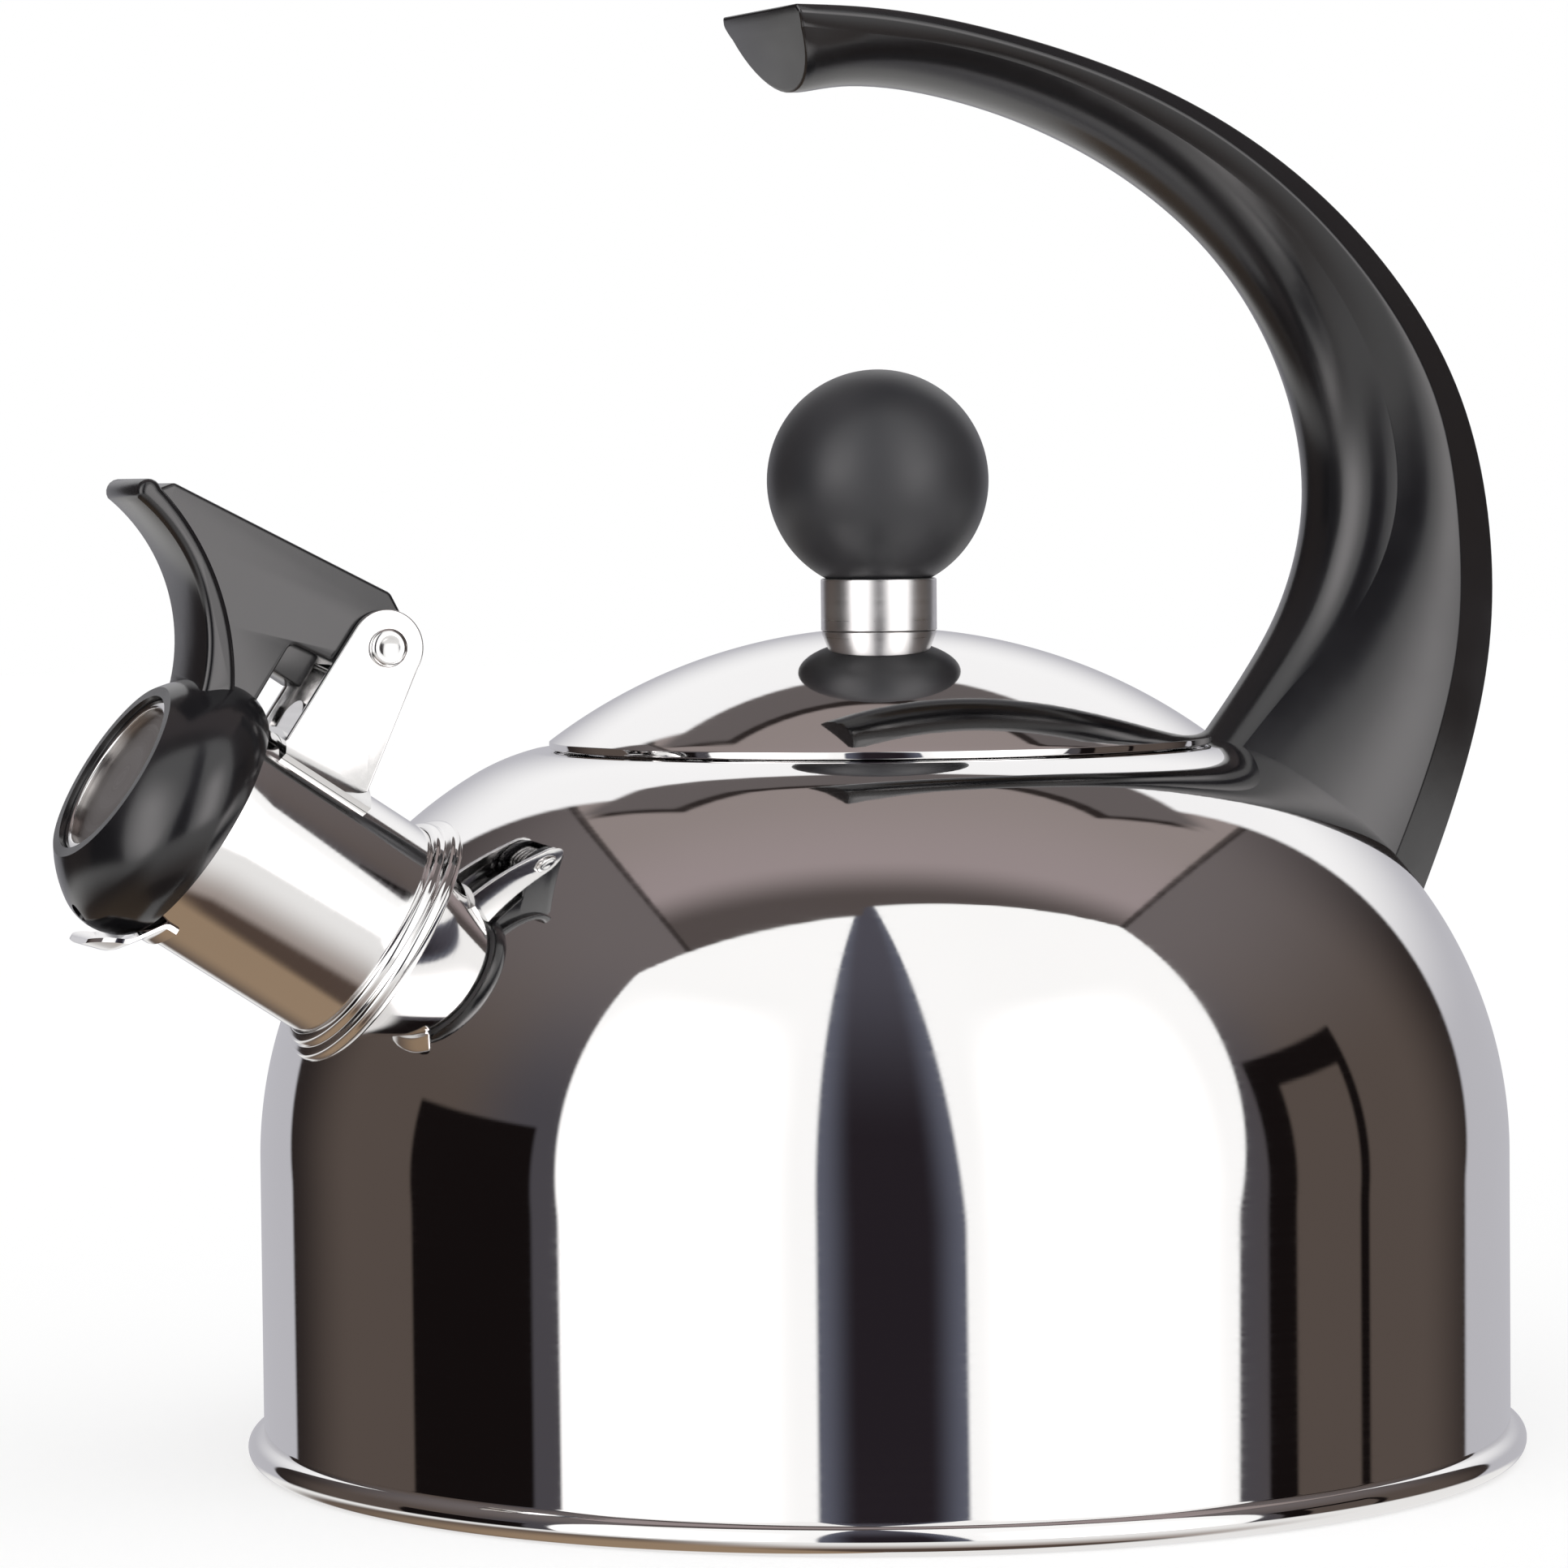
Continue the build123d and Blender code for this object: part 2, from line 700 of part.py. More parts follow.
# Lid skirt: a ring welded under the lid that drops into the mouth
skirt_radius = mouth_radius - skirt_gap
skirt_top = lid_z(skirt_radius, lid_sheet) - weld_gap
with BuildPart() as lid_skirt:
    with BuildSketch(Plane.XY.offset(rim_z - skirt_depth)):
        Circle(skirt_radius)
        Circle(skirt_radius - lid_sheet, mode=Mode.SUBTRACT)
    extrude(amount=skirt_top - rim_z + skirt_depth)
finish(lid_skirt, "lid_skirt")

# Knob: bakelite ball on a bright ferrule, held by a screw from inside the lid
ferrule_top = lid_top + ferrule_height
knob_z = ferrule_top + sqrt(knob_radius**2 - (ferrule_radius - sheet) ** 2)
with BuildPart() as knob_ferrule:
    with BuildSketch(Plane.XY.offset(lid_edge_z)):
        Circle(ferrule_radius)
        Circle(lid_screw_radius + weld_gap, mode=Mode.SUBTRACT)
    extrude(amount=ferrule_top - lid_edge_z)
    with Locations((0, 0, lid_centre_z)):
        Sphere(lid_ball + weld_gap, mode=Mode.SUBTRACT)
finish(knob_ferrule, "knob_ferrule")
with BuildPart() as knob_ball:
    with Locations((0, 0, knob_z)):
        Sphere(knob_radius)
    split(bisect_by=Plane.XY.offset(ferrule_top), keep=Keep.TOP)
    with BuildSketch(Plane.XY.offset(ferrule_top)):
        Circle(knob_insert_radius)
    extrude(amount=knob_insert_length, mode=Mode.SUBTRACT)
finish(knob_ball, "knob_ball")
with BuildPart() as knob_insert:
    with BuildSketch(Plane.XY.offset(ferrule_top)):
        Circle(knob_insert_radius)
    extrude(amount=knob_insert_length)
    with BuildSketch(Plane.XY.offset(ferrule_top)):
        Circle(lid_screw_radius + weld_gap)
    extrude(amount=lid_screw_grip + sheet, mode=Mode.SUBTRACT)
finish(knob_insert, "knob_insert")
washer_top = lid_z(lid_washer_radius, lid_sheet) - weld_gap
with BuildPart() as lid_washer:
    with BuildSketch(Plane.XY.offset(washer_top)):
        Circle(lid_washer_radius)
        Circle(lid_screw_radius + weld_gap, mode=Mode.SUBTRACT)
    extrude(amount=-lid_washer_thickness)
finish(lid_washer, "lid_washer")
with BuildPart() as lid_screw:
    head_top = washer_top - lid_washer_thickness
    with BuildSketch(Plane.XY.offset(head_top)):
        Circle(lid_screw_head_radius)
    extrude(amount=-lid_screw_head_height)
    fillet(lid_screw.edges().group_by(Axis.Z)[0], lid_screw_head_height / 3)
    with BuildSketch(Plane.XY.offset(head_top)):
        Circle(lid_screw_radius)
    extrude(amount=ferrule_top + lid_screw_grip - head_top)
finish(lid_screw, "lid_screw")


def station_plane(out, up, inwards):
    """Plane of one section of the handle, its y axis pointing inwards from the outer edge."""
    root_x, root_z = shoulder_point(handle_root_angle)
    into = (cos(radians(inwards)), sin(radians(inwards)))
    return Plane(
        (root_x + out, 0, root_z + up), x_dir=(0, 1, 0), z_dir=(into[1], 0, -into[0])
    )


# Handle: bevelled outside, rounded inner ridge, its root shaped to the shoulder
with BuildPart() as handle:
    for out, up, inwards, thick, bevel, ridge, ridge_half in handle_stations:
        with BuildSketch(station_plane(out, up, inwards)):
            with BuildLine():
                side = handle_half_width
                flat = side - bevel * handle_bevel_slope
                crease = thick - ridge
                Polyline(
                    (-ridge_half, crease),
                    (-side, bevel),
                    (-flat, 0),
                    (flat, 0),
                    (side, bevel),
                    (ridge_half, crease),
                )
                ThreePointArc((ridge_half, crease), (0, thick), (-ridge_half, crease))
            make_face()
    loft()
    add(shoulder_form(weld_gap), mode=Mode.SUBTRACT)
    drill_handle_holes(handle_insert_radius, -sheet, handle_insert_length + sheet)
finish(handle, "handle")

# Threaded inserts in the handle's root, with the screws, washers and seals inside the kettle
insert_bottom = 2 * weld_gap
seal_sag = shoulder_radius - sheet - sqrt((shoulder_radius - sheet) ** 2 - handle_seal_radius**2)
seal_top = -sheet - seal_sag - weld_gap
washer_high = seal_top - handle_seal_thickness
head_high = washer_high - handle_washer_thickness
with BuildPart() as handle_inserts:
    for angle in handle_screw_angles:
        with BuildSketch(handle_screw_plane(angle).offset(insert_bottom)):
            Circle(handle_insert_radius)
            Circle(handle_screw_radius + weld_gap, mode=Mode.SUBTRACT)
        extrude(amount=handle_insert_length - insert_bottom)
finish(handle_inserts, "handle_inserts")
with BuildPart() as handle_seals:
    for angle in handle_screw_angles:
        with BuildSketch(handle_screw_plane(angle).offset(seal_top)):
            Circle(handle_seal_radius)
            Circle(handle_screw_radius + weld_gap, mode=Mode.SUBTRACT)
        extrude(amount=-handle_seal_thickness)
finish(handle_seals, "handle_seals")
with BuildPart() as handle_washers:
    for angle in handle_screw_angles:
        with BuildSketch(handle_screw_plane(angle).offset(washer_high)):
            Circle(handle_washer_radius)
            Circle(handle_screw_radius + weld_gap, mode=Mode.SUBTRACT)
        extrude(amount=-handle_washer_thickness)
finish(handle_washers, "handle_washers")
with BuildPart() as handle_screws:
    for angle in handle_screw_angles:
        with BuildSketch(handle_screw_plane(angle).offset(head_high)):
            Circle(handle_screw_head_radius)
        extrude(amount=-handle_screw_head_height)
        with BuildSketch(handle_screw_plane(angle).offset(head_high)):
            Circle(handle_screw_radius)
        extrude(amount=handle_screw_grip - head_high)
finish(handle_screws, "handle_screws")
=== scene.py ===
"""Looks of a stovetop whistling kettle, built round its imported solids. The frame is in metres with
+Z up and the spout towards -X; the sizes in each section are in millimetres."""

from math import acos, asin, atan2, cos, degrees, hypot, pi, radians, sin, sqrt, tan

import bmesh
import bpy
import numpy as np
from mathutils import Matrix, Vector


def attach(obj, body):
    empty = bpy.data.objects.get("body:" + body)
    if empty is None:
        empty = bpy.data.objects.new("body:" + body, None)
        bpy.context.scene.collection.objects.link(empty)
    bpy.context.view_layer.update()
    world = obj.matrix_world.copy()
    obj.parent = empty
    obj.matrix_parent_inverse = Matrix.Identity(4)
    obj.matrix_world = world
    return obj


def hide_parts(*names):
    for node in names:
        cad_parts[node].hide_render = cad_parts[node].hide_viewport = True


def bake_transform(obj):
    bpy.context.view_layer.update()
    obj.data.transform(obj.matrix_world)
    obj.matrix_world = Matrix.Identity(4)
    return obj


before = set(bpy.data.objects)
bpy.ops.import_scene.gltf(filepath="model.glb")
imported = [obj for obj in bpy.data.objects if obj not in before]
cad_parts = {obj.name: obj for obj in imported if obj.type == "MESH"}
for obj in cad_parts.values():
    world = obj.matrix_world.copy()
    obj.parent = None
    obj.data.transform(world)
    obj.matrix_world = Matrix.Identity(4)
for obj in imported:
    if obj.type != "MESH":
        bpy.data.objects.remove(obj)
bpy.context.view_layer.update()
scene = bpy.context.scene
scene.view_settings.view_transform = "Standard"

# --- Camera ---
# A long lens about a metre away, level with the lid's knob and turned a little towards the spout.
camera_place = Vector((-0.39396, -0.86446, 0.152))
camera_right = Vector((0.91622036, -0.40054717, -0.01011037))
camera_up = Vector((0.02905011, 0.04124061, 0.99872684))
camera_back = Vector((-0.39962025, -0.91534757, 0.04942142))
camera_data = bpy.data.cameras.new("camera")
camera_data.lens = 138.838
camera_data.sensor_width = 36.0
camera = bpy.data.objects.new("camera", camera_data)
camera_turn = Matrix((camera_right, camera_up, camera_back)).transposed().to_4x4()
camera.matrix_world = Matrix.Translation(camera_place) @ camera_turn
scene.collection.objects.link(camera)
scene.camera = camera

# --- Studio ---
# A white backdrop, two tall white panels with a dark gap between them in front, and a dim brown
# room beside and above, all of which the polished steel mirrors. The floor is plain and pale.
# A bearing is taken from the camera to its right and a lift from the horizon up, in degrees.


def add_node(tree, kind, sockets=None, **settings):
    """Add a shader node, set its options and fill its sockets with values or links."""
    made = tree.nodes.new("ShaderNode" + kind)
    for key, value in settings.items():
        setattr(made, key, value)
    for key, value in (sockets or {}).items():
        if isinstance(value, bpy.types.NodeSocket):
            tree.links.new(value, made.inputs[key])
        else:
            made.inputs[key].default_value = value
    return made


def calc(operation, first, second=0.0):
    """Output of a math node in the first value's tree."""
    sockets = {0: first, 1: second}
    return add_node(first.id_data, "Math", sockets, operation=operation).outputs[0]


def dot(first, second):
    """Dot product of a linked vector and another."""
    tree = first.id_data
    made = add_node(tree, "VectorMath", {0: first, 1: second}, operation="DOT_PRODUCT")
    return made.outputs["Value"]


def rise(value, low, high, from_value=0.0, to_value=1.0):
    """A smooth mask that goes from one value at low to another at high."""
    ends = {"From Min": low, "From Max": high, "To Min": from_value, "To Max": to_value}
    sockets = {"Value": value, **ends}
    made = add_node(value.id_data, "MapRange", sockets, interpolation_type="SMOOTHSTEP")
    return made.outputs[0]


def mixed(mask, first, second):
    """Colour that goes from first to second as a mask goes from 0 to 1."""
    made = add_node(mask.id_data, "Mix", {0: mask, 6: first, 7: second}, data_type="RGBA")
    return made.outputs[2]


def rgba(*parts, share=1.0):
    """Colour with full cover, or a share of it."""
    return (*(share * part for part in parts), 1.0)


def new_material(name):
    """A material and its empty node tree."""
    made = bpy.data.materials.new(name)
    made.use_nodes = True
    made.node_tree.nodes.clear()
    return made, made.node_tree


world = bpy.data.worlds.new("studio")
scene.world = world
world.use_nodes = True
sky = world.node_tree
sky.nodes.clear()
to_camera = Vector((camera_place.x, camera_place.y, 0)).normalized()
to_right = Vector((-to_camera.y, to_camera.x, 0))
ray = add_node(sky, "TexCoord").outputs["Generated"]
ahead = dot(ray, to_camera)
aside = dot(ray, to_right)
height = add_node(sky, "SeparateXYZ", {0: ray}).outputs["Z"]
bearing = calc("MULTIPLY", calc("ARCTAN2", aside, ahead), 180 / pi)
turned_off = calc("ABSOLUTE", bearing)
lift = calc("MULTIPLY", calc("ARCSINE", height), 180 / pi)
sideways = calc("DIVIDE", aside, ahead)
upward = calc("DIVIDE", height, ahead)


def between(value, low, high, soft):
    """Mask that is 1 between two values and falls off softly at both."""
    inside = rise(value, low - soft, low + soft)
    return calc("MULTIPLY", inside, rise(value, high + soft, high - soft))


def both(first, *others):
    """Mask where several masks overlap."""
    for other in others:
        first = calc("MULTIPLY", first, other)
    return first


def line(value, slope, start):
    """Straight line: a slope times a value, from a start."""
    sockets = {0: value, 1: slope, 2: start}
    return add_node(sky, "Math", sockets, operation="MULTIPLY_ADD").outputs[0]


# Brown walls, cooler beside the panels, paler towards the ceiling and darker towards the backdrop
wall_brown = rgba(0.095, 0.074, 0.064)
wall_pale = rgba(0.15, 0.13, 0.13)
wall_cool = rgba(0.068, 0.063, 0.072)
wall_dark = rgba(0.026, 0.02, 0.019)
opening_black = rgba(0.007, 0.005, 0.005)
studio = mixed(rise(turned_off, 112, 138), wall_brown, wall_dark)
studio = mixed(rise(turned_off, 88, 66), studio, wall_cool)
studio = mixed(rise(lift, 12, 54), studio, wall_pale)
window = both(between(bearing, -94.5, -66, 0.6), rise(lift, 11.8, 10.6))
studio = mixed(window, studio, opening_black)
doorway = both(between(bearing, 72.5, 97.5, 0.6), rise(lift, 22.8, 21.6))
studio = mixed(doorway, studio, opening_black)
door = both(between(bearing, 79, 95, 0.6), rise(lift, 16.6, 15.4))
studio = mixed(door, studio, wall_brown)
# Ceiling, darkest above the panels, with a dark line where it meets each side wall
ceiling_front = rgba(0.09, 0.074, 0.071)
ceiling_middle = rgba(0.33, 0.275, 0.275)
ceiling_back = rgba(0.29, 0.245, 0.235)
forward = calc("DIVIDE", ahead, height)
ceiling = mixed(rise(forward, 0.22, 0.0), ceiling_front, ceiling_middle)
ceiling = mixed(rise(forward, 0.05, -0.5), ceiling, ceiling_back)
for wall_bearing, wall_slope in ((-90, 1.73), (85, 1.46)):
    facing = radians(wall_bearing)
    square_on = to_camera * cos(facing) + to_right * sin(facing)
    above = calc("SUBTRACT", height, calc("MULTIPLY", dot(ray, square_on), wall_slope))
    side = rise(calc("MULTIPLY", bearing, wall_bearing), -5, 5)
    studio = mixed(both(side, rise(above, -0.008, 0.008)), studio, ceiling)
    edge = both(side, between(above, -0.014, 0.014, 0.008))
    studio = mixed(calc("MULTIPLY", edge, 0.8), studio, wall_dark)
# Two white panels in front, brightest in the middle, with a dark leaning gap between them
panel_white = rgba(1.05, 1.045, 1.04)
panel_bright = rgba(2.9, 2.8, 2.8)
gap_black = rgba(0.018, 0.014, 0.018)
gap_grey = rgba(0.075, 0.072, 0.09)
gap_edge = rgba(0.11, 0.115, 0.15)
gap_left = -0.2126
gap_right = line(upward, -0.085, 0.2456)
in_gap = both(
    rise(sideways, gap_left - 0.01, gap_left + 0.01),
    rise(calc("SUBTRACT", gap_right, sideways), -0.01, 0.01),
)
gap_half = line(gap_right, 0.5, -gap_left / 2)
gap_middle = line(gap_right, 0.5, gap_left / 2)
off_middle = calc("ABSOLUTE", calc("SUBTRACT", sideways, gap_middle))
gap = mixed(rise(lift, 12, 66), gap_black, gap_grey)
gap = mixed(rise(calc("DIVIDE", off_middle, gap_half), 0.45, 1.0), gap, gap_edge)
middle_of_panel = both(between(turned_off, 27, 53, 12), between(lift, -14, 34, 14))
panels = mixed(middle_of_panel, panel_white, panel_bright)
panels = mixed(in_gap, panels, gap)
on_right = rise(sideways, -0.16, -0.14)
panel_tops = {0: on_right, 2: line(sideways, 0.4, 3.18), 3: line(sideways, 0.5, 3.75)}
panel_top = add_node(sky, "Mix", panel_tops, data_type="FLOAT").outputs[0]
on_panels = both(
    rise(calc("SUBTRACT", panel_top, upward), -0.07, 0.07),
    rise(line(lift, 0.05, bearing), -61.2, -60.2),
    rise(line(lift, -0.14, bearing), 67.7, 66.7),
)
studio = mixed(on_panels, studio, panels)
# White backdrop behind, greyer low down, under a grey strip with a dark edge
backdrop_white = rgba(0.98, 0.975, 0.98)
backdrop_grey = rgba(0.5, 0.495, 0.53)
strip_grey = rgba(0.13, 0.113, 0.112)
past_side = line(lift, -0.22, calc("ABSOLUTE", calc("ADD", bearing, 3.2)))
backdrop = mixed(rise(lift, 4, 30), backdrop_grey, backdrop_white)
behind = rise(past_side, 135, 137)
strip = both(rise(past_side, 129, 131), rise(lift, 57.5, 56.5))
strip_edge = both(rise(past_side, 127, 129), rise(lift, 59.5, 58.5))
studio = mixed(both(strip_edge, rise(lift, 46, 50)), studio, wall_dark)
studio = mixed(both(strip, rise(lift, 44, 48)), studio, strip_grey)
studio = mixed(both(behind, rise(lift, 47.5, 46)), studio, backdrop)
# Pale floor below, with painted shade of the kettle darkening it close under the kettle, and tan
# towards the spout
floor_tone = rgba(0.86, 0.85, 0.84)
floor_painted_shade = rgba(0.34, 0.29, 0.265)
floor_painted_shadow = rgba(0.08, 0.055, 0.044)
floor_tan = rgba(0.31, 0.22, 0.145)
floor_brown = rgba(0.13, 0.098, 0.08)
# Painted shade: the floor turns darker the nearer it lies under the kettle, darkest in a painted
# shadow line
ground = mixed(rise(lift, -22, -58), floor_tone, floor_painted_shade)
ground = mixed(rise(lift, -54, -63), ground, floor_painted_shadow)
ground = mixed(rise(turned_off, 75, 110), ground, floor_tone)
table = mixed(rise(lift, -26, -58), floor_brown, floor_tan)
on_table = both(rise(bearing, -10, -52), rise(bearing, -172, -160), rise(lift, -18, -30))
ground = mixed(on_table, ground, table)
studio = mixed(rise(lift, -11, -17), studio, ground)

plain_light = rgba(0.6, 0.6, 0.6)
path = add_node(sky, "LightPath").outputs
mirrored = calc("MAXIMUM", path["Is Glossy Ray"], path["Is Transmission Ray"])
shown = mixed(mirrored, plain_light, studio)
shown = mixed(path["Is Camera Ray"], shown, rgba(1, 1, 1))
glow = add_node(sky, "Background", {"Color": shown, "Strength": 1.0})
add_node(sky, "OutputWorld", {"Surface": glow.outputs[0]})

far = 4.0
floor_mesh = bpy.data.meshes.new("floor")
floor_corners = [(-far, -far, 0), (far, -far, 0), (far, far, 0), (-far, far, 0)]
floor_mesh.from_pydata(floor_corners, [], [(0, 1, 2, 3)])
floor = bpy.data.objects.new("floor", floor_mesh)
scene.collection.objects.link(floor)
floor.visible_glossy = False
floor_paint, tree = new_material("pale_floor")
pale = add_node(tree, "BsdfDiffuse", {"Color": rgba(0.4, 0.4, 0.4)})
straight = add_node(tree, "LightPath").outputs["Is Camera Ray"]
bright = calc("MULTIPLY", straight, 0.62)
lit = add_node(tree, "Emission", {"Color": rgba(1, 1, 1), "Strength": bright})
paint = add_node(tree, "AddShader", {0: pale.outputs[0], 1: lit.outputs[0]})
add_node(tree, "OutputMaterial", {"Surface": paint.outputs[0]})
floor_mesh.materials.append(floor_paint)


def soft_lamp(name, towards, spread, strength):
    """A wide, even light from one side, left out of the mirror finish."""
    data = bpy.data.lights.new(name, "SUN")
    data.angle = radians(spread)
    data.energy = strength
    lamp = bpy.data.objects.new(name, data)
    lamp.rotation_euler = (-Vector(towards)).to_track_quat("-Z", "Y").to_euler()
    lamp.visible_glossy = False
    scene.collection.objects.link(lamp)


soft_lamp("light_left", (-1.0, -0.9, 1.6), 70, 0.9)
soft_lamp("light_right", (1.1, -0.7, 1.4), 70, 0.6)

# --- Base plate ---
# The disc that the kettle stands on: stainless steel sheet, pressed flat and buffed in rings.
mm = 0.001
sheet = 0.8
base_radius = 95.6


def soften(corners, steps=5):
    """Outline with rounded corners; a corner is (x, y) or, where it is rounded, (x, y, radius)."""
    outline = []
    for index, corner in enumerate(corners):
        here = Vector(corner[:2])
        if len(corner) < 3:
            outline.append(here)
            continue
        back = (Vector(corners[index - 1][:2]) - here).normalized()
        on = (Vector(corners[(index + 1) % len(corners)][:2]) - here).normalized()
        half = back.angle(on) / 2
        middle = here + (back + on).normalized() * corner[2] / sin(half)
        reach = corner[2] / tan(half)
        first = (here + back * reach - middle).normalized()
        last = (here + on * reach - middle).normalized()
        for step in range(steps + 1):
            outline.append(middle + first.slerp(last, step / steps) * corner[2])
    return outline


def arc(middle, radius, low, high, steps):
    """Points of an arc between two angles in degrees."""
    turns = [radians(low + (high - low) * step / steps) for step in range(steps + 1)]
    return [(middle[0] + radius * cos(a), middle[1] + radius * sin(a)) for a in turns]


def make_piece(name, points, faces, place=None, crease=32):
    """Piece from points in millimetres, smooth except at its creases, put in its place."""
    mesh = bpy.data.meshes.new(name)
    mesh.from_pydata([Vector(point) * mm for point in points], [], faces)
    if place:
        mesh.transform(place)
    form = bmesh.new()
    form.from_mesh(mesh)
    bmesh.ops.remove_doubles(form, verts=form.verts, dist=1e-7)
    bmesh.ops.recalc_face_normals(form, faces=form.faces)
    hubs = [v for v in form.verts if len(v.link_faces) > 12]
    flat_hubs = [v for v in hubs if all(f.normal.dot(v.normal) > 0.99999 for f in v.link_faces)]
    bmesh.ops.dissolve_verts(form, verts=flat_hubs)
    form.to_mesh(mesh)
    form.free()
    mesh.shade_smooth()
    mesh.set_sharp_from_angle(angle=radians(crease))
    piece = bpy.data.objects.new(name, mesh)
    scene.collection.objects.link(piece)
    return piece


def round_z(radius, level, angle):
    """Point at a radius and level, turned about the Z axis."""
    return radius * cos(angle), radius * sin(angle), level


def turn(name, outline, steps=128, place=None, crease=32, spot=round_z):
    """Piece turned from a closed outline of (radius, level[, rounding]), as spot places them."""
    if any(len(corner) > 2 for corner in outline):
        outline = soften(outline)
    count = len(outline)
    points, faces = [], []
    for step in range(steps):
        angle = 2 * pi * step / steps
        points += [spot(*corner, angle) for corner in outline]
        here, on = step * count, (step + 1) % steps * count
        for k in range(count):
            nxt = (k + 1) % count
            if max(outline[k][0], outline[nxt][0]) > 1e-6:
                faces.append((here + k, on + k, on + nxt, here + nxt))
    return make_piece(name, points, faces, place, crease)


def settle(piece, material, body, node):
    """Give a piece its finish, and say what it rides on, which solid it shows."""
    piece.data.materials.append(material)
    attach(piece, body)
    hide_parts(node)


def noise(place, scale, detail):
    """Height of a fractal noise at a place."""
    sockets = {"Vector": place, "Scale": scale, "Detail": detail}
    return add_node(place.id_data, "TexNoise", sockets).outputs[0]


def bumps(height, strength, distance):
    """Normal of a skin with these heights."""
    sockets = {"Height": height, "Strength": strength, "Distance": distance}
    return add_node(height.id_data, "Bump", sockets).outputs[0]


def surface(tree, **sockets):
    """Principled surface joined to the material's output."""
    skin = add_node(tree, "BsdfPrincipled", {k.replace("_", " "): v for k, v in sockets.items()})
    add_node(tree, "OutputMaterial", {"Surface": skin.outputs[0]})


def buffed_steel(name, colour, gloss, line_scale, line_depth, middle=(0, 0, 0), axis=(0, 0, 1)):
    """Metal buffed on a lathe: a mirror with faint rings round its axis and uneven gloss."""
    made, tree = new_material(name)
    place = add_node(tree, "TexCoord").outputs["Object"]
    offset = add_node(tree, "VectorMath", {0: place, 1: middle}, operation="SUBTRACT").outputs[0]
    round_axis = add_node(tree, "VectorMath", {0: offset, 1: axis}, operation="CROSS_PRODUCT")
    reach = add_node(tree, "VectorMath", {0: round_axis.outputs[0]}, operation="LENGTH")
    spot = {0: reach.outputs["Value"], 2: dot(offset, axis)}
    rings = noise(add_node(tree, "CombineXYZ", spot).outputs[0], line_scale, 3.0)
    cloud = noise(place, 34.0, 5.0)
    streak = calc("MULTIPLY", rings, cloud)
    surface(
        tree,
        Base_Color=mixed(cloud, rgba(*colour, share=0.95), rgba(*colour)),
        Metallic=1.0,
        Roughness=rise(streak, 0.1, 0.45, *gloss),
        Normal=bumps(rings, line_depth, 0.00005),
    )
    return made


polished_steel = buffed_steel("polished_steel", (0.93, 0.922, 0.918), (0.025, 0.06), 1400, 0.02)
disc_outline = [(0, 0), (base_radius, 0, 0.15), (base_radius, sheet, 0.15), (0, sheet)]
base_disc = turn("base_disc", disc_outline, 192)
settle(base_disc, polished_steel, "kettle", "base_plate")

# --- Base seam ---
# The bead round the foot, where the disc's edge is rolled over the body's flange and pressed shut.
weld_gap = 0.05
body_radius = 98.0
seam_middle = (98.1, 2.4)
seam_round = 2.4
flange = (99.2, 2.0, 2.8)
wall_cut = degrees(acos((body_radius - seam_middle[0]) / seam_round))
inner_cut = degrees(acos((body_radius - sheet - seam_middle[0]) / seam_round))
lap_cut = 180 + degrees(asin((seam_middle[1] - sheet) / seam_round))
foot_seam = turn("foot_seam", [
    (base_radius + weld_gap, sheet),
    (base_radius + weld_gap, 0),
    *arc(seam_middle, seam_round, -90, wall_cut, 28),
    (body_radius, flange[2]),
    (flange[0], flange[2]),
    (flange[0], flange[1]),
    (body_radius - sheet, flange[1]),
    *arc(seam_middle, seam_round, inner_cut, lap_cut, 14),
], 256)
settle(foot_seam, polished_steel, "kettle", "base_seam")

# --- Body shell ---
# One deep-drawn piece of stainless sheet: straight wall, round shoulder, a crown that rolls over to
# the lid's flat seat, and a turned-down mouth. The spout's hole and two screw holes are punched.
wall_height = 47.3
shoulder_radius = 69.3
shoulder_middle = (body_radius - shoulder_radius, wall_height)
crown_angle = 59.3
crown_radius = 35.0
crown_middle = (
    shoulder_middle[0] + (shoulder_radius - crown_radius) * cos(radians(crown_angle)),
    wall_height + (shoulder_radius - crown_radius) * sin(radians(crown_angle)),
)
crown_end = 75.8
rim_z = crown_middle[1] + crown_radius * sin(radians(crown_end))
mouth_round = 1.4
mouth_radius = 46.5
mouth_lip = 5.5
wall_levels = (4, 14, 26, 38, 46)


def carve(piece, tools, how="DIFFERENCE", crease=32):
    """Cut tools out of a piece, or join them to it, and drop the tools."""
    for tool in tools:
        step = piece.modifiers.new("carve", "BOOLEAN")
        step.object = tool
        step.operation = how
        step.solver = "EXACT"
    graph = bpy.context.evaluated_depsgraph_get()
    carved = bpy.data.meshes.new_from_object(piece.evaluated_get(graph))
    piece.modifiers.clear()
    piece.data = carved
    carved.name = piece.name
    carved.shade_smooth()
    carved.set_sharp_from_angle(angle=radians(crease))
    for tool in tools:
        bpy.data.objects.remove(tool)


def shoulder_spot(angle, grow=0.0):
    """Point of the shoulder at an angle above the horizontal, this far outside its skin."""
    reach = shoulder_radius + grow
    turned = radians(angle)
    return shoulder_middle[0] + reach * cos(turned), wall_height + reach * sin(turned)


def body_skin(grow):
    """Points from the wall's top over shoulder and crown to the flat seat, this far outside."""
    crown = crown_radius + grow
    seat = degrees(asin((rim_z + grow - crown_middle[1]) / crown))
    shoulder = arc(shoulder_middle, shoulder_radius + grow, 0, crown_angle, 60)
    return shoulder + arc(crown_middle, crown, crown_angle, seat, 16)[1:]


def frame_at(point, across, along):
    """Matrix that puts a piece's X axis across and its Z axis along these directions."""
    across, along = Vector(across).normalized(), Vector(along).normalized()
    third = along.cross(across)
    rows = [(across[k], third[k], along[k], point[k] * mm) for k in range(3)]
    return Matrix((*rows, (0, 0, 0, 1)))


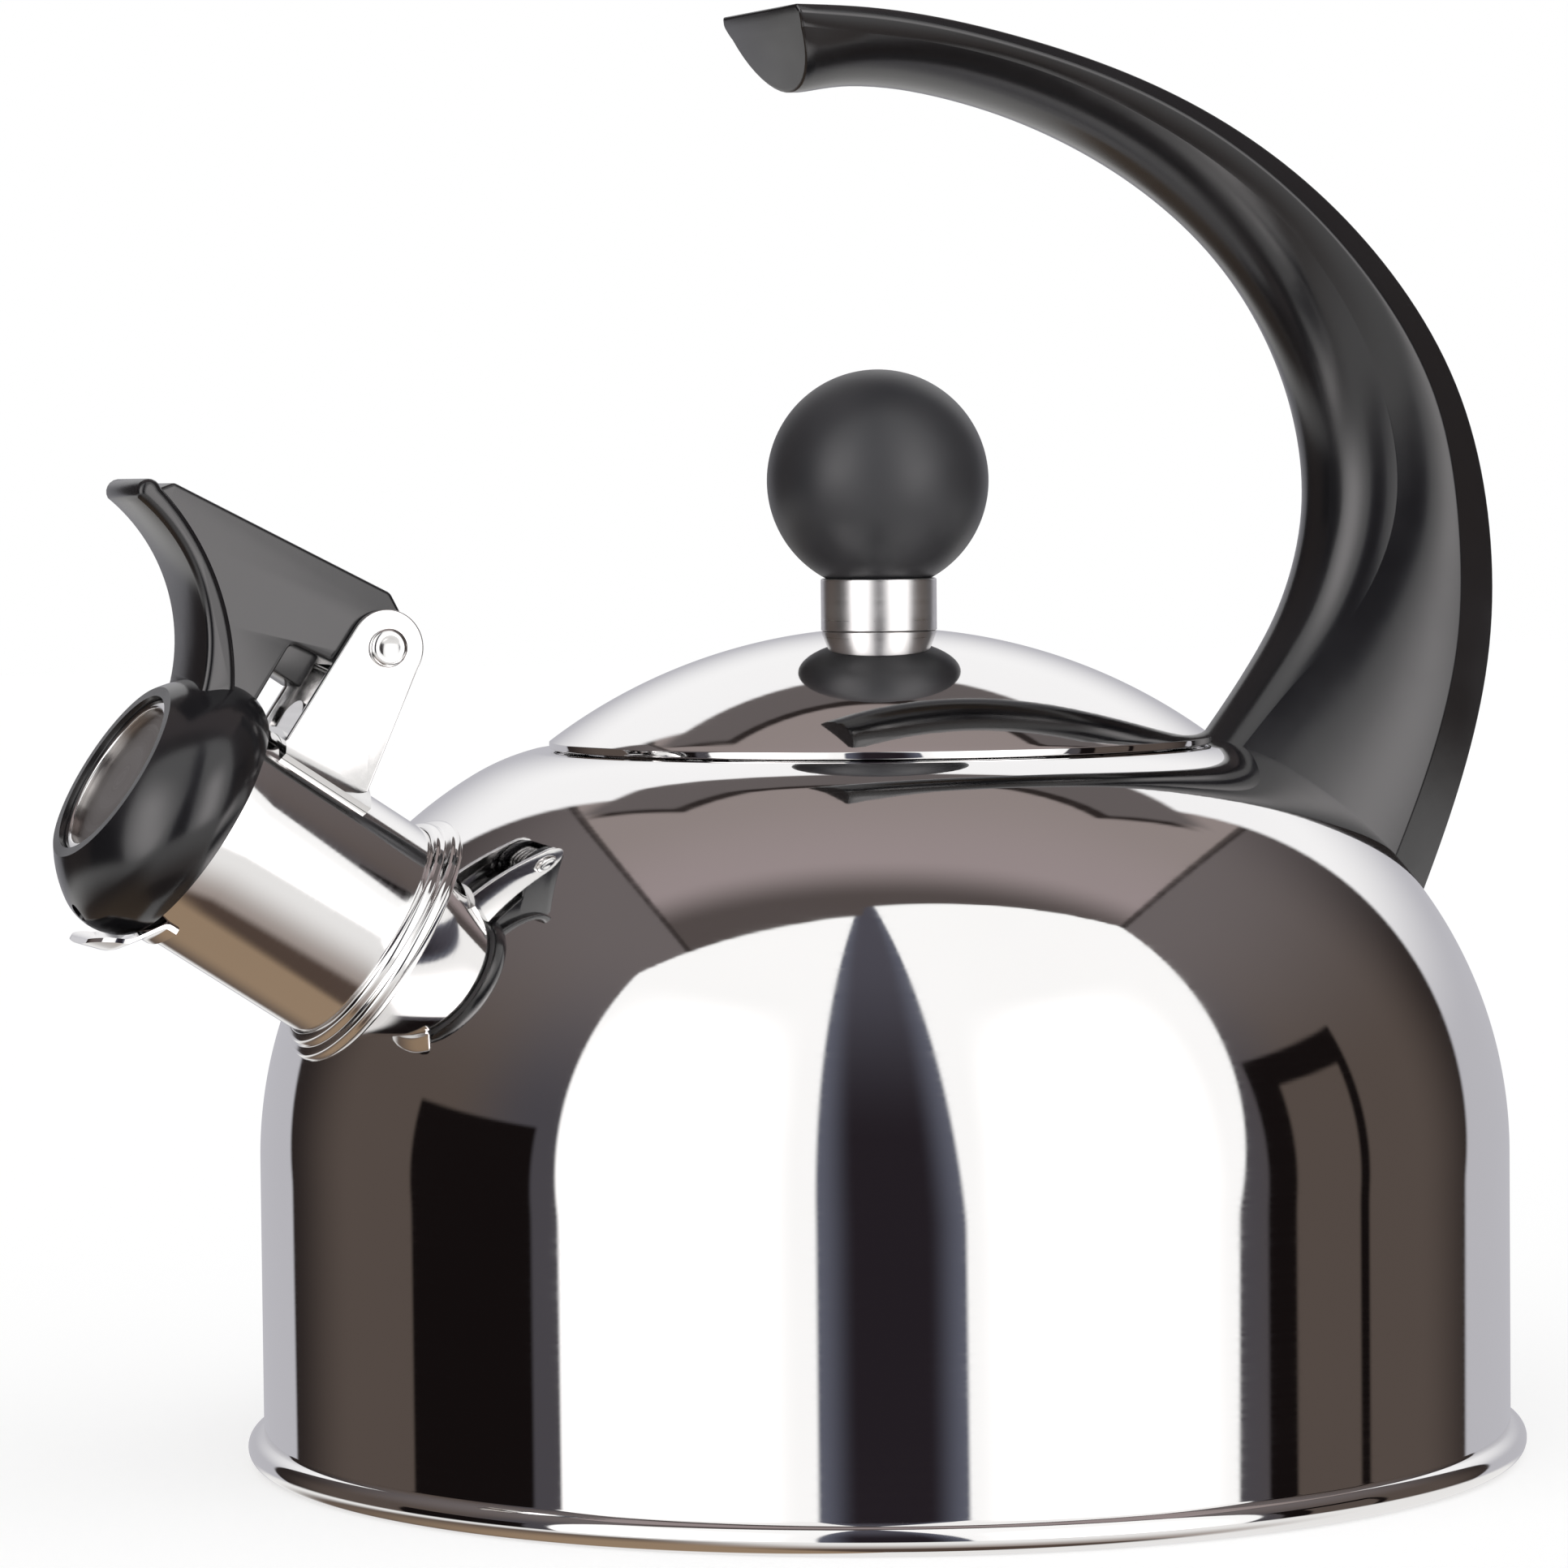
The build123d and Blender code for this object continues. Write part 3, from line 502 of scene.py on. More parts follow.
steel_body = turn("steel_body", [
    (body_radius, flange[2]),
    *((body_radius, z) for z in wall_levels),
    *body_skin(0),
    (mouth_radius, rim_z, mouth_round),
    (mouth_radius, rim_z - mouth_lip),
    (mouth_radius + sheet, rim_z - mouth_lip),
    (mouth_radius + sheet, rim_z - sheet, mouth_round - sheet),
    *reversed(body_skin(-sheet)),
    *((body_radius - sheet, z) for z in reversed(wall_levels)),
    (body_radius - sheet, flange[1]),
    (flange[0], flange[1]),
    (flange[0], flange[2]),
], 288)
spout_lean = radians(33)
spout_out = Vector((-cos(spout_lean), 0, sin(spout_lean)))
spout_up = Vector((sin(spout_lean), 0, cos(spout_lean)))
spout_start = Vector((-shoulder_middle[0], 0, wall_height))
spout_radius = 18.0
screw_drops = (19.5, 5.0)
screw_angles = [crown_angle - drop for drop in screw_drops]
screw_hole = 2.55
spout_cut, screw_cut = (30, 95), (-2, 1)


def punch(radius, low, high, steps, place):
    """A round tool for cutting a hole between two levels."""
    return turn("punch", [(0, low), (radius, low), (radius, high), (0, high)], steps, place)


def screw_place(angle):
    """Where a screw goes through the shoulder, looking out."""
    x, z = shoulder_spot(angle)
    return frame_at((x, 0, z), (0, 1, 0), (cos(radians(angle)), 0, sin(radians(angle))))


spout_root = frame_at(spout_start, spout_up, spout_out)
punches = [punch(spout_radius + weld_gap, *spout_cut, 96, spout_root)]
punches += [punch(screw_hole, *screw_cut, 32, screw_place(angle)) for angle in screw_angles]
carve(steel_body, punches)
settle(steel_body, polished_steel, "kettle", "body_shell")

# --- Spout tube ---
# A straight length of drawn steel tube let into the shoulder, its mouth cut square and deburred.
spout_reach = 33.3
spout_tuck = 6.0
mouth_band = -6
spout_end = spout_start + spout_out * (shoulder_radius + spout_reach)
spout_place = frame_at(spout_end, spout_up, spout_out)
tube_low = -spout_reach - spout_tuck
spout_pipe = turn("spout_pipe", [
    (spout_radius, tube_low, 0.2),
    (spout_radius, mouth_band),
    (spout_radius, 0, 0.3),
    (spout_radius - sheet, 0, 0.3),
    (spout_radius - sheet, mouth_band),
    (spout_radius - sheet, tube_low, 0.2),
], 160, spout_place)
spout_axis = {"middle": spout_end * mm, "axis": spout_out}
spout_steel = buffed_steel(
    "spout_steel", (0.93, 0.922, 0.918), (0.06, 0.12), 1400, 0.03, **spout_axis
)
settle(spout_pipe, spout_steel, "kettle", "spout_tube")

# --- Spout collar ---
# Two stepped steel rings round the tube's foot, pressed to the shoulder's curve and soldered.
collar_radius = 21.0
collar_height = 1.3
bead_radius = 19.5
bead_height = 2.6


def on_shoulder(out_from_axis, grow, angle):
    """Point straight along the spout from beside its axis, this far above the shoulder's skin."""
    start = spout_start + spout_up * (out_from_axis * cos(angle))
    start += Vector((0, out_from_axis * sin(angle), 0))
    low, high = 30.0, 90.0
    for _ in range(40):
        middle = (low + high) / 2
        spot = start + spout_out * middle
        outward = hypot(spot.x, spot.y) - shoulder_middle[0]
        if hypot(outward, spot.z - wall_height) < shoulder_radius + grow:
            low = middle
        else:
            high = middle
    return start + spout_out * low


collar_rings = turn("collar_rings", [
    (spout_radius + weld_gap, weld_gap),
    (collar_radius, weld_gap, 0.1),
    (collar_radius, collar_height, 0.6),
    (bead_radius, collar_height, 0.25),
    (bead_radius, bead_height, 0.65),
    (spout_radius + weld_gap, bead_height, 0.25),
], 144, crease=40, spot=on_shoulder)
settle(collar_rings, spout_steel, "kettle", "spout_collar")

# --- Pouring lip ---
# A short tongue of steel sheet, pressed into a soft step and spot-welded under the tube's mouth.
lip_half_width = 9.0
lip_sheet = 0.7
lip_corner = 5.0
lip_low, lip_foot, lip_high = -5.6, -3.6, 4.2
lip_clear = 4.5
lip_flare = 1.2
lip_rows, lip_columns = 28, 24
lip_seat = spout_radius + weld_gap
lip_line = soften(
    [
        (lip_low, lip_seat),
        (lip_foot, lip_seat, 1.4),
        (0, lip_seat + lip_clear, 1.6),
        (lip_high, lip_seat + lip_clear + lip_flare),
    ],
    8,
)


def lip_reach_at(along):
    """How far the tongue's skin stands from the spout's axis."""
    along = max(along, lip_line[0][0])
    for first, last in zip(lip_line, lip_line[1:]):
        if first[0] <= along <= last[0]:
            share = (along - first[0]) / max(last[0] - first[0], 1e-9)
            return first[1] + share * (last[1] - first[1])
    return lip_line[-1][1]


lip_points, lip_faces = [], []
for layer in (0, lip_sheet):
    for row in range(lip_rows + 1):
        ease = row / lip_rows
        along = lip_low + (lip_high - lip_low) * (1 - (1 - ease) ** 1.6)
        past = max(0.0, along - lip_high + lip_corner)
        half = lip_half_width - lip_corner + sqrt(max(0.0, lip_corner**2 - past**2))
        reach = lip_reach_at(along) + layer
        for column in range(lip_columns + 1):
            across = half * (2 * column / lip_columns - 1)
            lip_points.append((-sqrt(reach**2 - across**2), across, along))
width = lip_columns + 1
lip_count = width * (lip_rows + 1)
for row in range(lip_rows):
    for column in range(lip_columns):
        k = row * width + column
        cell = (k, k + 1, k + width + 1, k + width)
        lip_faces += [cell, tuple(lip_count + i for i in reversed(cell))]
edge_loop = (
    list(range(width))
    + [row * width + width - 1 for row in range(1, lip_rows + 1)]
    + [lip_rows * width + column for column in range(lip_columns - 1, -1, -1)]
    + [row * width for row in range(lip_rows - 1, 0, -1)]
)
for k, nxt in zip(edge_loop, edge_loop[1:] + edge_loop[:1]):
    lip_faces.append((k, nxt, lip_count + nxt, lip_count + k))
pouring_lip = make_piece("pouring_lip", lip_points, lip_faces, spout_place, crease=40)
settle(pouring_lip, spout_steel, "kettle", "pour_lip")

# --- Hinge bracket ---
# Bright steel pressing on top of the tube: a curved saddle, two ears for the rivet and a small
# upright tongue that the spring's leg leans on. Spot-welded to the spout.
pin_back = 11.5
pin_height = 37.2
pin_radius = 2.0
pin_cut = (-12, 12)
saddle_sheet = 1.0
saddle_half_width = 12.0
saddle_low, saddle_high = -20.8, -5.0
ear_inner, ear_outer = 6.9, 8.1
ear_radius = 5.8
ear_back, ear_front = -20.4, -5.2
ear_edge = 0.25
tongue_low, tongue_high = -7.6, -6.4
tongue_half_width = 4.5
tongue_top = 24.5


def prism(name, points):
    """Piece on the spout between two outlines with as many points, the second after the first."""
    count = len(points) // 2
    faces = [tuple(range(count)), tuple(range(2 * count - 1, count - 1, -1))]
    faces += [(k, count + k, count + (k + 1) % count, (k + 1) % count) for k in range(count)]
    return make_piece(name, points, faces, spout_place)


def plate(name, outline, low, high, edge=0.0, steps=3):
    """Flat piece in the spout's side view, from an outline of (out, up) and two levels sideways."""
    piece = prism(name, [(up, side, out) for side in (low, high) for out, up in outline])
    if edge:
        form = bmesh.new()
        form.from_mesh(piece.data)
        count = len(outline)
        rims = [e for e in form.edges if any(len(f.verts) == count for f in e.link_faces)]
        cut = {"offset": edge * mm, "segments": steps, "profile": 0.5, "affect": "EDGES"}
        bmesh.ops.bevel(form, geom=rims, clamp_overlap=True, **cut)
        form.to_mesh(piece.data)
        form.free()
        piece.data.shade_smooth()
        piece.data.set_sharp_from_angle(angle=radians(32))
    return piece


def upright(name, outline, low, high):
    """Flat piece square to the spout, from an outline of (up, sideways) and two levels outwards."""
    return prism(name, [(*spot, out) for out in (low, high) for spot in outline])


bright_steel = buffed_steel("bright_steel", (0.86, 0.855, 0.85), (0.09, 0.17), 900, 0.05)
saddle_inner = spout_radius + weld_gap
saddle_outer = saddle_inner + saddle_sheet
saddle_angle = degrees(asin(saddle_half_width / saddle_outer))
saddle_outline = arc((0, 0), saddle_inner, -saddle_angle, saddle_angle, 24)
saddle_outline += arc((0, 0), saddle_outer, saddle_angle, -saddle_angle, 24)
hinge_pressing = upright("hinge_pressing", saddle_outline, saddle_low, saddle_high)
ear_foot = sqrt(saddle_outer**2 - ear_outer**2) - saddle_sheet / 4
ear_outline = [
    (ear_front, ear_foot),
    *arc((-pin_back, pin_height), ear_radius, 0, 180, 32),
    (ear_back, ear_foot),
]
tongue_foot = sqrt(saddle_outer**2 - tongue_half_width**2) - saddle_sheet / 4
tongue_outline = [
    (tongue_foot, -tongue_half_width),
    *arc((tongue_top - tongue_half_width, 0), tongue_half_width, -90, 90, 24),
    (tongue_foot, tongue_half_width),
]
carve(
    hinge_pressing,
    [
        plate("ear", ear_outline, -ear_outer, -ear_inner, ear_edge),
        plate("ear", ear_outline, ear_inner, ear_outer, ear_edge),
        upright("tongue", tongue_outline, tongue_low, tongue_high),
    ],
    "UNION",
)
pin_place = frame_at(
    spout_end - spout_out * pin_back + spout_up * pin_height, spout_out, (0, 1, 0)
)
carve(hinge_pressing, [punch(pin_radius + weld_gap, *pin_cut, 48, pin_place)])
settle(hinge_pressing, bright_steel, "kettle", "hinge_bracket")

# --- Hinge pin ---
# A steel rivet through both ears, its two heads peened over outside them and dished by the punch.
pin_head_radius = 3.0
pin_head_height = 1.3
dish_depth = 0.35
dish_radius = 1.9
pin_head_end = ear_outer + pin_head_height
pin_dish = [
    (r, pin_head_end - dish_depth * (1 - (r / dish_radius) ** 2))
    for r in (0, 0.5, 1.0, 1.5, dish_radius)
]
hinge_rivet = turn("hinge_rivet", [
    *((r, -out) for r, out in pin_dish),
    (pin_head_radius, -pin_head_end, 0.9),
    (pin_head_radius, -ear_outer, 0.1),
    (pin_radius, -ear_outer),
    (pin_radius, ear_outer),
    (pin_head_radius, ear_outer, 0.1),
    (pin_head_radius, pin_head_end, 0.9),
    *reversed(pin_dish),
], 64, pin_place)
settle(hinge_rivet, bright_steel, "kettle", "hinge_pin")

# --- Flap spring ---
# Torsion spring of drawn wire wound round the rivet: one leg stands behind the bracket's tongue,
# the arm lies in the flap's web. On the kettle the coil winds up as the flap opens; this mesh is
# fixed.
wire_radius = 0.5
coil_radius = 3.1
coil_pitch = 1.55
coil_turns = 3.75
coil_steps = 150
wire_sides = 14
spring_leg = 16.4
spring_arm = 13.5


def loft(name, rows, place=None, crease=32):
    """Piece through rows of as many points each, closed at both ends."""
    count = len(rows[0])
    last = count * len(rows)
    faces = []
    for start in range(0, last - count, count):
        for k in range(count):
            here, nxt = start + k, start + (k + 1) % count
            faces.append((here, nxt, nxt + count, here + count))
    faces += [tuple(range(count)), tuple(range(last - 1, last - count - 1, -1))]
    return make_piece(name, sum(rows, []), faces, place, crease)


def coil_spot(turned):
    """Point of the wire's middle after a number of turns, as (out, up, sideways)."""
    return Vector(
        (
            -pin_back + coil_radius * cos(2 * pi * turned),
            pin_height + coil_radius * sin(2 * pi * turned),
            coil_pitch * (turned - coil_turns / 2),
        )
    )


def coil_heading(turned):
    """Direction of the wire after a number of turns."""
    climb = coil_pitch / (2 * pi * coil_radius)
    return Vector((-sin(2 * pi * turned), cos(2 * pi * turned), climb)).normalized()


wire_line = [coil_spot(0) - coil_heading(0) * spring_leg * (1 - step / 8) for step in range(8)]
wire_line += [coil_spot(coil_turns * step / coil_steps) for step in range(coil_steps + 1)]
wire_line += [
    coil_spot(coil_turns) + coil_heading(coil_turns) * spring_arm * step / 8
    for step in range(1, 9)
]
wire_turns = [2 * pi * k / wire_sides for k in range(wire_sides)]
wire_rows = []
wire_side = Vector((0, 0, 1))
for index, spot in enumerate(wire_line):
    ahead_spot = wire_line[min(index + 1, len(wire_line) - 1)]
    heading_here = (ahead_spot - wire_line[max(index - 1, 0)]).normalized()
    wire_side = (wire_side - heading_here * wire_side.dot(heading_here)).normalized()
    other_side = heading_here.cross(wire_side)
    ring = [spot + (wire_side * cos(a) + other_side * sin(a)) * wire_radius for a in wire_turns]
    wire_rows.append([(up, side, out) for out, up, side in ring])
torsion_spring = loft("torsion_spring", wire_rows, spout_place)
spring_steel = buffed_steel("spring_steel", (0.62, 0.615, 0.61), (0.2, 0.32), 1600, 0.1)
torsion_spring.data.materials.append(spring_steel)
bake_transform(torsion_spring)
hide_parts("flap_spring")

# --- Whistle flap ---
# One glossy black bakelite moulding: a round cap over the spout's mouth, a web back to the hinge
# and a curved horn for the thumb. Hollowed for the gasket and whistle, with a vent underneath.
cap_low, cap_high = -1.4, 13.2
cap_bore = 19.0
cap_face_radius = 14.8
cap_flank = ((cap_low, 19.6), (1.6, 21.0), (7.6, 20.0))
gasket_inner = 15.6
seat_out, pocket_out, chamber_out = 1.5, 4.7, 7.9
chamber_radius = 12.0
vent_radius = 1.5
vent_cut, bore_cut = (6, 27), (-8, 8)
recess_top = 15
badge_radius = 13.2
badge_seat = 10.6
web_half_width = 6.4
web_tip = (29.4, 40.6)
web_corner = (-8.1, 44.8)
web_under = 30.0
web_edge = 0.6
neck_back = 1.3
rib_half_width = 4.0
rib_edge = 0.3
rib_back, rib_low = -4.2, 25.5
barrel_radius = 5.3
slot_half_width = 4.4
slot_radius = 4.6
arm_sides = (1.9, 4.98)
arm_room = 0.8
horn_half_width = 8.5
horn_foot = 13.0
horn_face = ((10.5, 17.5), (17.6, 28.3), (33.3, 35.4))
horn_back = ((4.8, 18.0), (12.2, 28.0), (31.2, 38.6))
horn_tip = (34.2, 37.8)
horn_round = 1.2
running_gap = 0.06


def circle_through(first, second, third):
    """Middle and radius of the circle through three points."""
    (ax, ay), (bx, by), (cx, cy) = first, second, third
    turned = 2 * (ax * (by - cy) + bx * (cy - ay) + cx * (ay - by))
    sa, sb, sc = ax**2 + ay**2, bx**2 + by**2, cx**2 + cy**2
    x = (sa * (by - cy) + sb * (cy - ay) + sc * (ay - by)) / turned
    y = (sa * (cx - bx) + sb * (ax - cx) + sc * (bx - ax)) / turned
    return (x, y), hypot(ax - x, ay - y)


def arc_through(first, second, third, steps):
    """Points of the arc from the first point through the second to the third."""
    middle, radius = circle_through(first, second, third)
    low, way, high = (
        degrees(atan2(y - middle[1], x - middle[0])) for x, y in (first, second, third)
    )
    way, high = (way - low) % 360, (high - low) % 360
    return arc(middle, radius, low, low + (high if way < high else high - 360), steps)


def black_moulding(name, colour, gloss, grain_depth):
    """Moulded phenolic: black, polished by its mould, with a faint ripple and fine dust marks."""
    made, tree = new_material(name)
    place = add_node(tree, "TexCoord").outputs["Object"]
    grain = noise(place, 2600.0, 4.0)
    cloud = noise(place, 45.0, 6.0)
    tops = calc("ADD", noise(place, 150.0, 2.0), calc("MULTIPLY", grain, grain_depth))
    surface(
        tree,
        Base_Color=mixed(cloud, rgba(*colour), rgba(*colour, share=1.25)),
        Roughness=rise(cloud, 0.35, 0.7, *gloss),
        IOR=1.65,
        Normal=bumps(tops, 0.08, 0.0002),
    )
    return made


flank_middle, _ = circle_through(*cap_flank)
brow_start, brow_end = Vector(cap_flank[2]), Vector((cap_high, cap_face_radius))
inward = (Vector(flank_middle) - brow_start).normalized()
span = brow_end - brow_start
brow_radius = span.length_squared / (2 * span.dot(inward))
brow_middle = brow_start + inward * brow_radius
low = degrees(atan2(brow_start.y - brow_middle.y, brow_start.x - brow_middle.x))
high = degrees(atan2(brow_end.y - brow_middle.y, brow_end.x - brow_middle.x))
cap_skin = arc_through(*cap_flank, 24) + arc(brow_middle, brow_radius, low, high, 16)[1:]
flap_moulding = turn(
    "flap_moulding",
    [(0, cap_low)] + [(reach, out) for out, reach in cap_skin] + [(0, cap_high)],
    160,
    spout_place,
)
horn_core = [
    ((face[0] + back[0]) / 2, (face[1] + back[1]) / 2) for face, back in zip(horn_face, horn_back)
]
slope = Vector((-pin_back - barrel_radius / 2, pin_height + barrel_radius * 0.8))
slope -= Vector(web_corner)
slope.normalize()
from_pin = Vector(web_corner) - Vector((-pin_back, pin_height))
half_way = from_pin.dot(slope)
met = -half_way - sqrt(half_way**2 - from_pin.length_squared + barrel_radius**2)
spot = from_pin + slope * met
barrel_from = degrees(atan2(spot.y, spot.x))
web_outline = soften(
    [
        *arc_through(*horn_core, 20)[:-1],
        (*horn_core[-1],),
        (*web_tip, 1.0),
        (*web_corner, 1.5),
        *arc((-pin_back, pin_height), barrel_radius, barrel_from, 270, 30),
        (neck_back, web_under, 1.2),
        (neck_back, horn_foot),
        (horn_core[0][0], horn_foot),
    ]
)
rib_top = web_under + barrel_radius / 3
rib_front = neck_back + 1
rib_outline = [(rib_front, rib_low), (rib_front, rib_top), (rib_back, rib_top), (rib_back, rib_low)]
horn_outline = [
    *arc_through(*horn_face, 28),
    *arc_through(horn_face[-1], horn_tip, horn_back[-1], 10)[1:],
    *reversed(arc_through(*horn_back, 28)[:-1]),
    (horn_back[0][0], horn_foot),
    (horn_back[0][0] + horn_half_width / 2, horn_foot),
]
carve(
    flap_moulding,
    [
        plate("web", web_outline, -web_half_width, web_half_width, web_edge),
        plate("rib", rib_outline, -rib_half_width, rib_half_width, rib_edge),
        plate("horn", horn_outline, -horn_half_width, horn_half_width, horn_round, 5),
    ],
    "UNION",
)
hollow = [
    (0, cap_low - 1),
    (cap_bore, cap_low - 1),
    (cap_bore, seat_out),
    (gasket_inner, seat_out),
    (gasket_inner, pocket_out),
    (chamber_radius, pocket_out),
    (chamber_radius, chamber_out),
    (0, chamber_out),
]
vent_spot = spout_end + spout_out * (pocket_out + chamber_out) / 2
vent_place = frame_at(vent_spot, (0, 1, 0), -spout_up)
slot_outline = [
    (-pin_back - 2 * barrel_radius, pin_height + slot_radius),
    *arc((-pin_back, pin_height), slot_radius, 90, 0, 16),
    (-pin_back + slot_radius, pin_height - 2 * barrel_radius),
    (-pin_back - 2 * barrel_radius, pin_height - 2 * barrel_radius),
]
arm_low, arm_high = (pin_height - coil_radius + room for room in (-arm_room, arm_room))
arm_end = -pin_back + spring_arm + 1
arm_outline = [(-pin_back, arm_low), (arm_end, arm_low), (arm_end, arm_high), (-pin_back, arm_high)]
carve(
    flap_moulding,
    [
        turn("hollow", hollow, 128, spout_place),
        punch(badge_radius + weld_gap, badge_seat, recess_top, 128, spout_place),
        punch(pin_radius + running_gap, *bore_cut, 48, pin_place),
        punch(vent_radius, *vent_cut, 32, vent_place),
        plate("slot", slot_outline, -slot_half_width, slot_half_width),
        plate("arm", arm_outline, *arm_sides),
    ],
)
black_bakelite = black_moulding("black_bakelite", (0.011, 0.0106, 0.0122), (0.16, 0.25), 0.15)
settle(flap_moulding, black_bakelite, "flap", "whistle_flap")

# --- Badge ---
# A bare disc of finely brushed steel let into the cap's front, with a bright raised ring on it.
badge_sheet = 0.8
badge_hub = 6
ring_width = 1.5
ring_height = 0.9
badge_face = badge_seat + badge_sheet
badge_disc = turn("badge_disc", [
    (0, badge_seat),
    (badge_radius, badge_seat, 0.1),
    (badge_radius, badge_face, 0.1),
    (badge_hub, badge_face),
    (0, badge_face),
], 96, spout_place)
badge_steel = buffed_steel(
    "badge_steel", (0.34, 0.31, 0.295), (0.3, 0.42), 2600, 0.05, **spout_axis
)
settle(badge_disc, badge_steel, "flap", "badge_plate")
badge_rim = turn("badge_rim", [
    (badge_radius - ring_width, badge_face),
    (badge_radius, badge_face),
    (badge_radius, badge_face + ring_height, 0.4),
    (badge_radius - ring_width, badge_face + ring_height, 0.4),
], 128, spout_place)
settle(badge_rim, bright_steel, "flap", "badge_ring")

# --- Cap gasket ---
# A grey silicone washer pushed into the cap, which closes on the end of the tube.
gasket_low = 0.3
gasket_outer = cap_bore - weld_gap


def silicone_rubber(name, colour):
    """Moulded silicone: matt, faintly mottled and a little dusty."""
    made, tree = new_material(name)
    cloud = noise(add_node(tree, "TexCoord").outputs["Object"], 260.0, 5.0)
    surface(
        tree,
        Base_Color=mixed(cloud, rgba(*colour), rgba(*colour, share=1.2)),
        Roughness=rise(cloud, 0.3, 0.7, 0.5, 0.7),
        Normal=bumps(cloud, 0.15, 0.0002),
    )
    return made


gasket_washer = turn("gasket_washer", [
    (gasket_inner, gasket_low, 0.3),
    (gasket_outer, gasket_low, 0.3),
    (gasket_outer, seat_out, 0.1),
    (gasket_inner, seat_out, 0.1),
], 96, spout_place)
silicone = silicone_rubber("silicone", (0.3, 0.3, 0.31))
settle(gasket_washer, silicone, "flap", "cap_gasket")

# --- Whistle ---
# A pressed aluminium cup and a flat plate, each with one small hole, pushed into the cap together.
whistle_radius = gasket_inner - weld_gap
whistle_hole = 1.6
whistle_sheet = 0.8
plate_low = pocket_out - whistle_sheet
whistle_aluminium = buffed_steel(
    "whistle_aluminium", (0.8, 0.8, 0.81), (0.24, 0.38), 1200, 0.1, **spout_axis
)
whistle_inner = turn("whistle_inner", [
    (whistle_hole, seat_out, 0.2),
    (whistle_radius, seat_out, 0.5),
    (whistle_radius, plate_low),
    (whistle_radius - whistle_sheet, plate_low),
    (whistle_radius - whistle_sheet, seat_out + whistle_sheet, 0.3),
    (whistle_hole, seat_out + whistle_sheet, 0.2),
], 96, spout_place)
whistle_outer = turn("whistle_outer", [
    (whistle_hole, plate_low, 0.2),
    (whistle_radius, plate_low, 0.1),
    (whistle_radius, pocket_out, 0.1),
    (whistle_hole, pocket_out, 0.2),
], 96, spout_place)
for pressing, node in ((whistle_inner, "whistle_cup"), (whistle_outer, "whistle_plate")):
    settle(pressing, whistle_aluminium, "flap", node)

# --- Lid ---
# A shallow dome of stainless sheet with a hemmed edge, polished, and a plain ring welded under it
# that drops into the mouth. Lifts off.
lid_radius = 52.0
lid_rise = 17.3
lid_sheet = 0.7
lid_hem = 1.1
moving_gap = 0.3
skirt_radius = mouth_radius - 0.6
skirt_depth = 7.0
lid_hole = 2.05
lid_low = rim_z + moving_gap
lid_edge = lid_low + lid_hem
lid_ball = (lid_radius**2 + lid_rise**2) / (2 * lid_rise)
lid_top = lid_edge + lid_rise
lid_middle = lid_top - lid_ball


def lid_skin(inside, outer, steps):
    """Points of the dome's skin, from its hole out to a radius, this far under its outside."""
    ball = lid_ball - inside
    reach = [lid_hole + (outer - lid_hole) * step / steps for step in range(steps + 1)]
    return [(r, lid_middle + sqrt(ball**2 - r**2)) for r in reach]


lid_outside = lid_skin(0, lid_radius, 44)
lid_inside = lid_skin(lid_sheet, lid_radius - lid_sheet, 44)
lid_dome = turn("lid_dome", [
    *lid_outside[:-1],
    (*lid_outside[-1], 0.3),
    (lid_radius, lid_low, 0.25),
    (lid_radius - lid_sheet, lid_low, 0.2),
    *reversed(lid_inside),
], 256)
skirt_low = rim_z - skirt_depth
skirt_high = lid_middle + sqrt((lid_ball - lid_sheet) ** 2 - skirt_radius**2) - weld_gap
lid_ring = turn("lid_ring", [
    (skirt_radius, skirt_low, 0.2),
    (skirt_radius, skirt_high),
    (skirt_radius - lid_sheet, skirt_high),
    (skirt_radius - lid_sheet, skirt_low, 0.2),
], 192)
for pressing, node in ((lid_dome, "lid_shell"), (lid_ring, "lid_skirt")):
    settle(pressing, polished_steel, "lid", node)

# --- Knob ---
# A turned bright steel ferrule on top of the lid and a black ball of satin bakelite above it.
ferrule_radius = 9.1
ferrule_top = lid_top + 7.8
knob_radius = 17.4
insert_radius = 4.0
insert_depth = 14.0
knob_middle = ferrule_top + sqrt(knob_radius**2 - (ferrule_radius - sheet) ** 2)
ferrule_reach = [ferrule_radius - (ferrule_radius - lid_hole) * step / 6 for step in range(7)]
ferrule_seat = [
    (r, lid_middle + sqrt((lid_ball + weld_gap) ** 2 - r**2)) for r in reversed(ferrule_reach)
]
knob_collar = turn("knob_collar", [
    *ferrule_seat[:-1],
    (*ferrule_seat[-1], 0.2),
    (ferrule_radius, ferrule_top, 0.3),
    (lid_hole, ferrule_top),
], 96)
ferrule_steel = buffed_steel("ferrule_steel", (0.82, 0.81, 0.805), (0.26, 0.36), 900, 0.05)
settle(knob_collar, ferrule_steel, "lid", "knob_ferrule")
seat_angle = degrees(asin((ferrule_top - knob_middle) / knob_radius))
ball_knob = turn("ball_knob", [
    *arc((0, knob_middle), knob_radius, seat_angle, 90, 60),
    (0, ferrule_top + insert_depth),
    (insert_radius, ferrule_top + insert_depth),
    (insert_radius, ferrule_top),
], 128)
satin_bakelite = black_moulding("satin_bakelite", (0.024, 0.0243, 0.028), (0.4, 0.52), 0.6)
settle(ball_knob, satin_bakelite, "lid", "knob_ball")

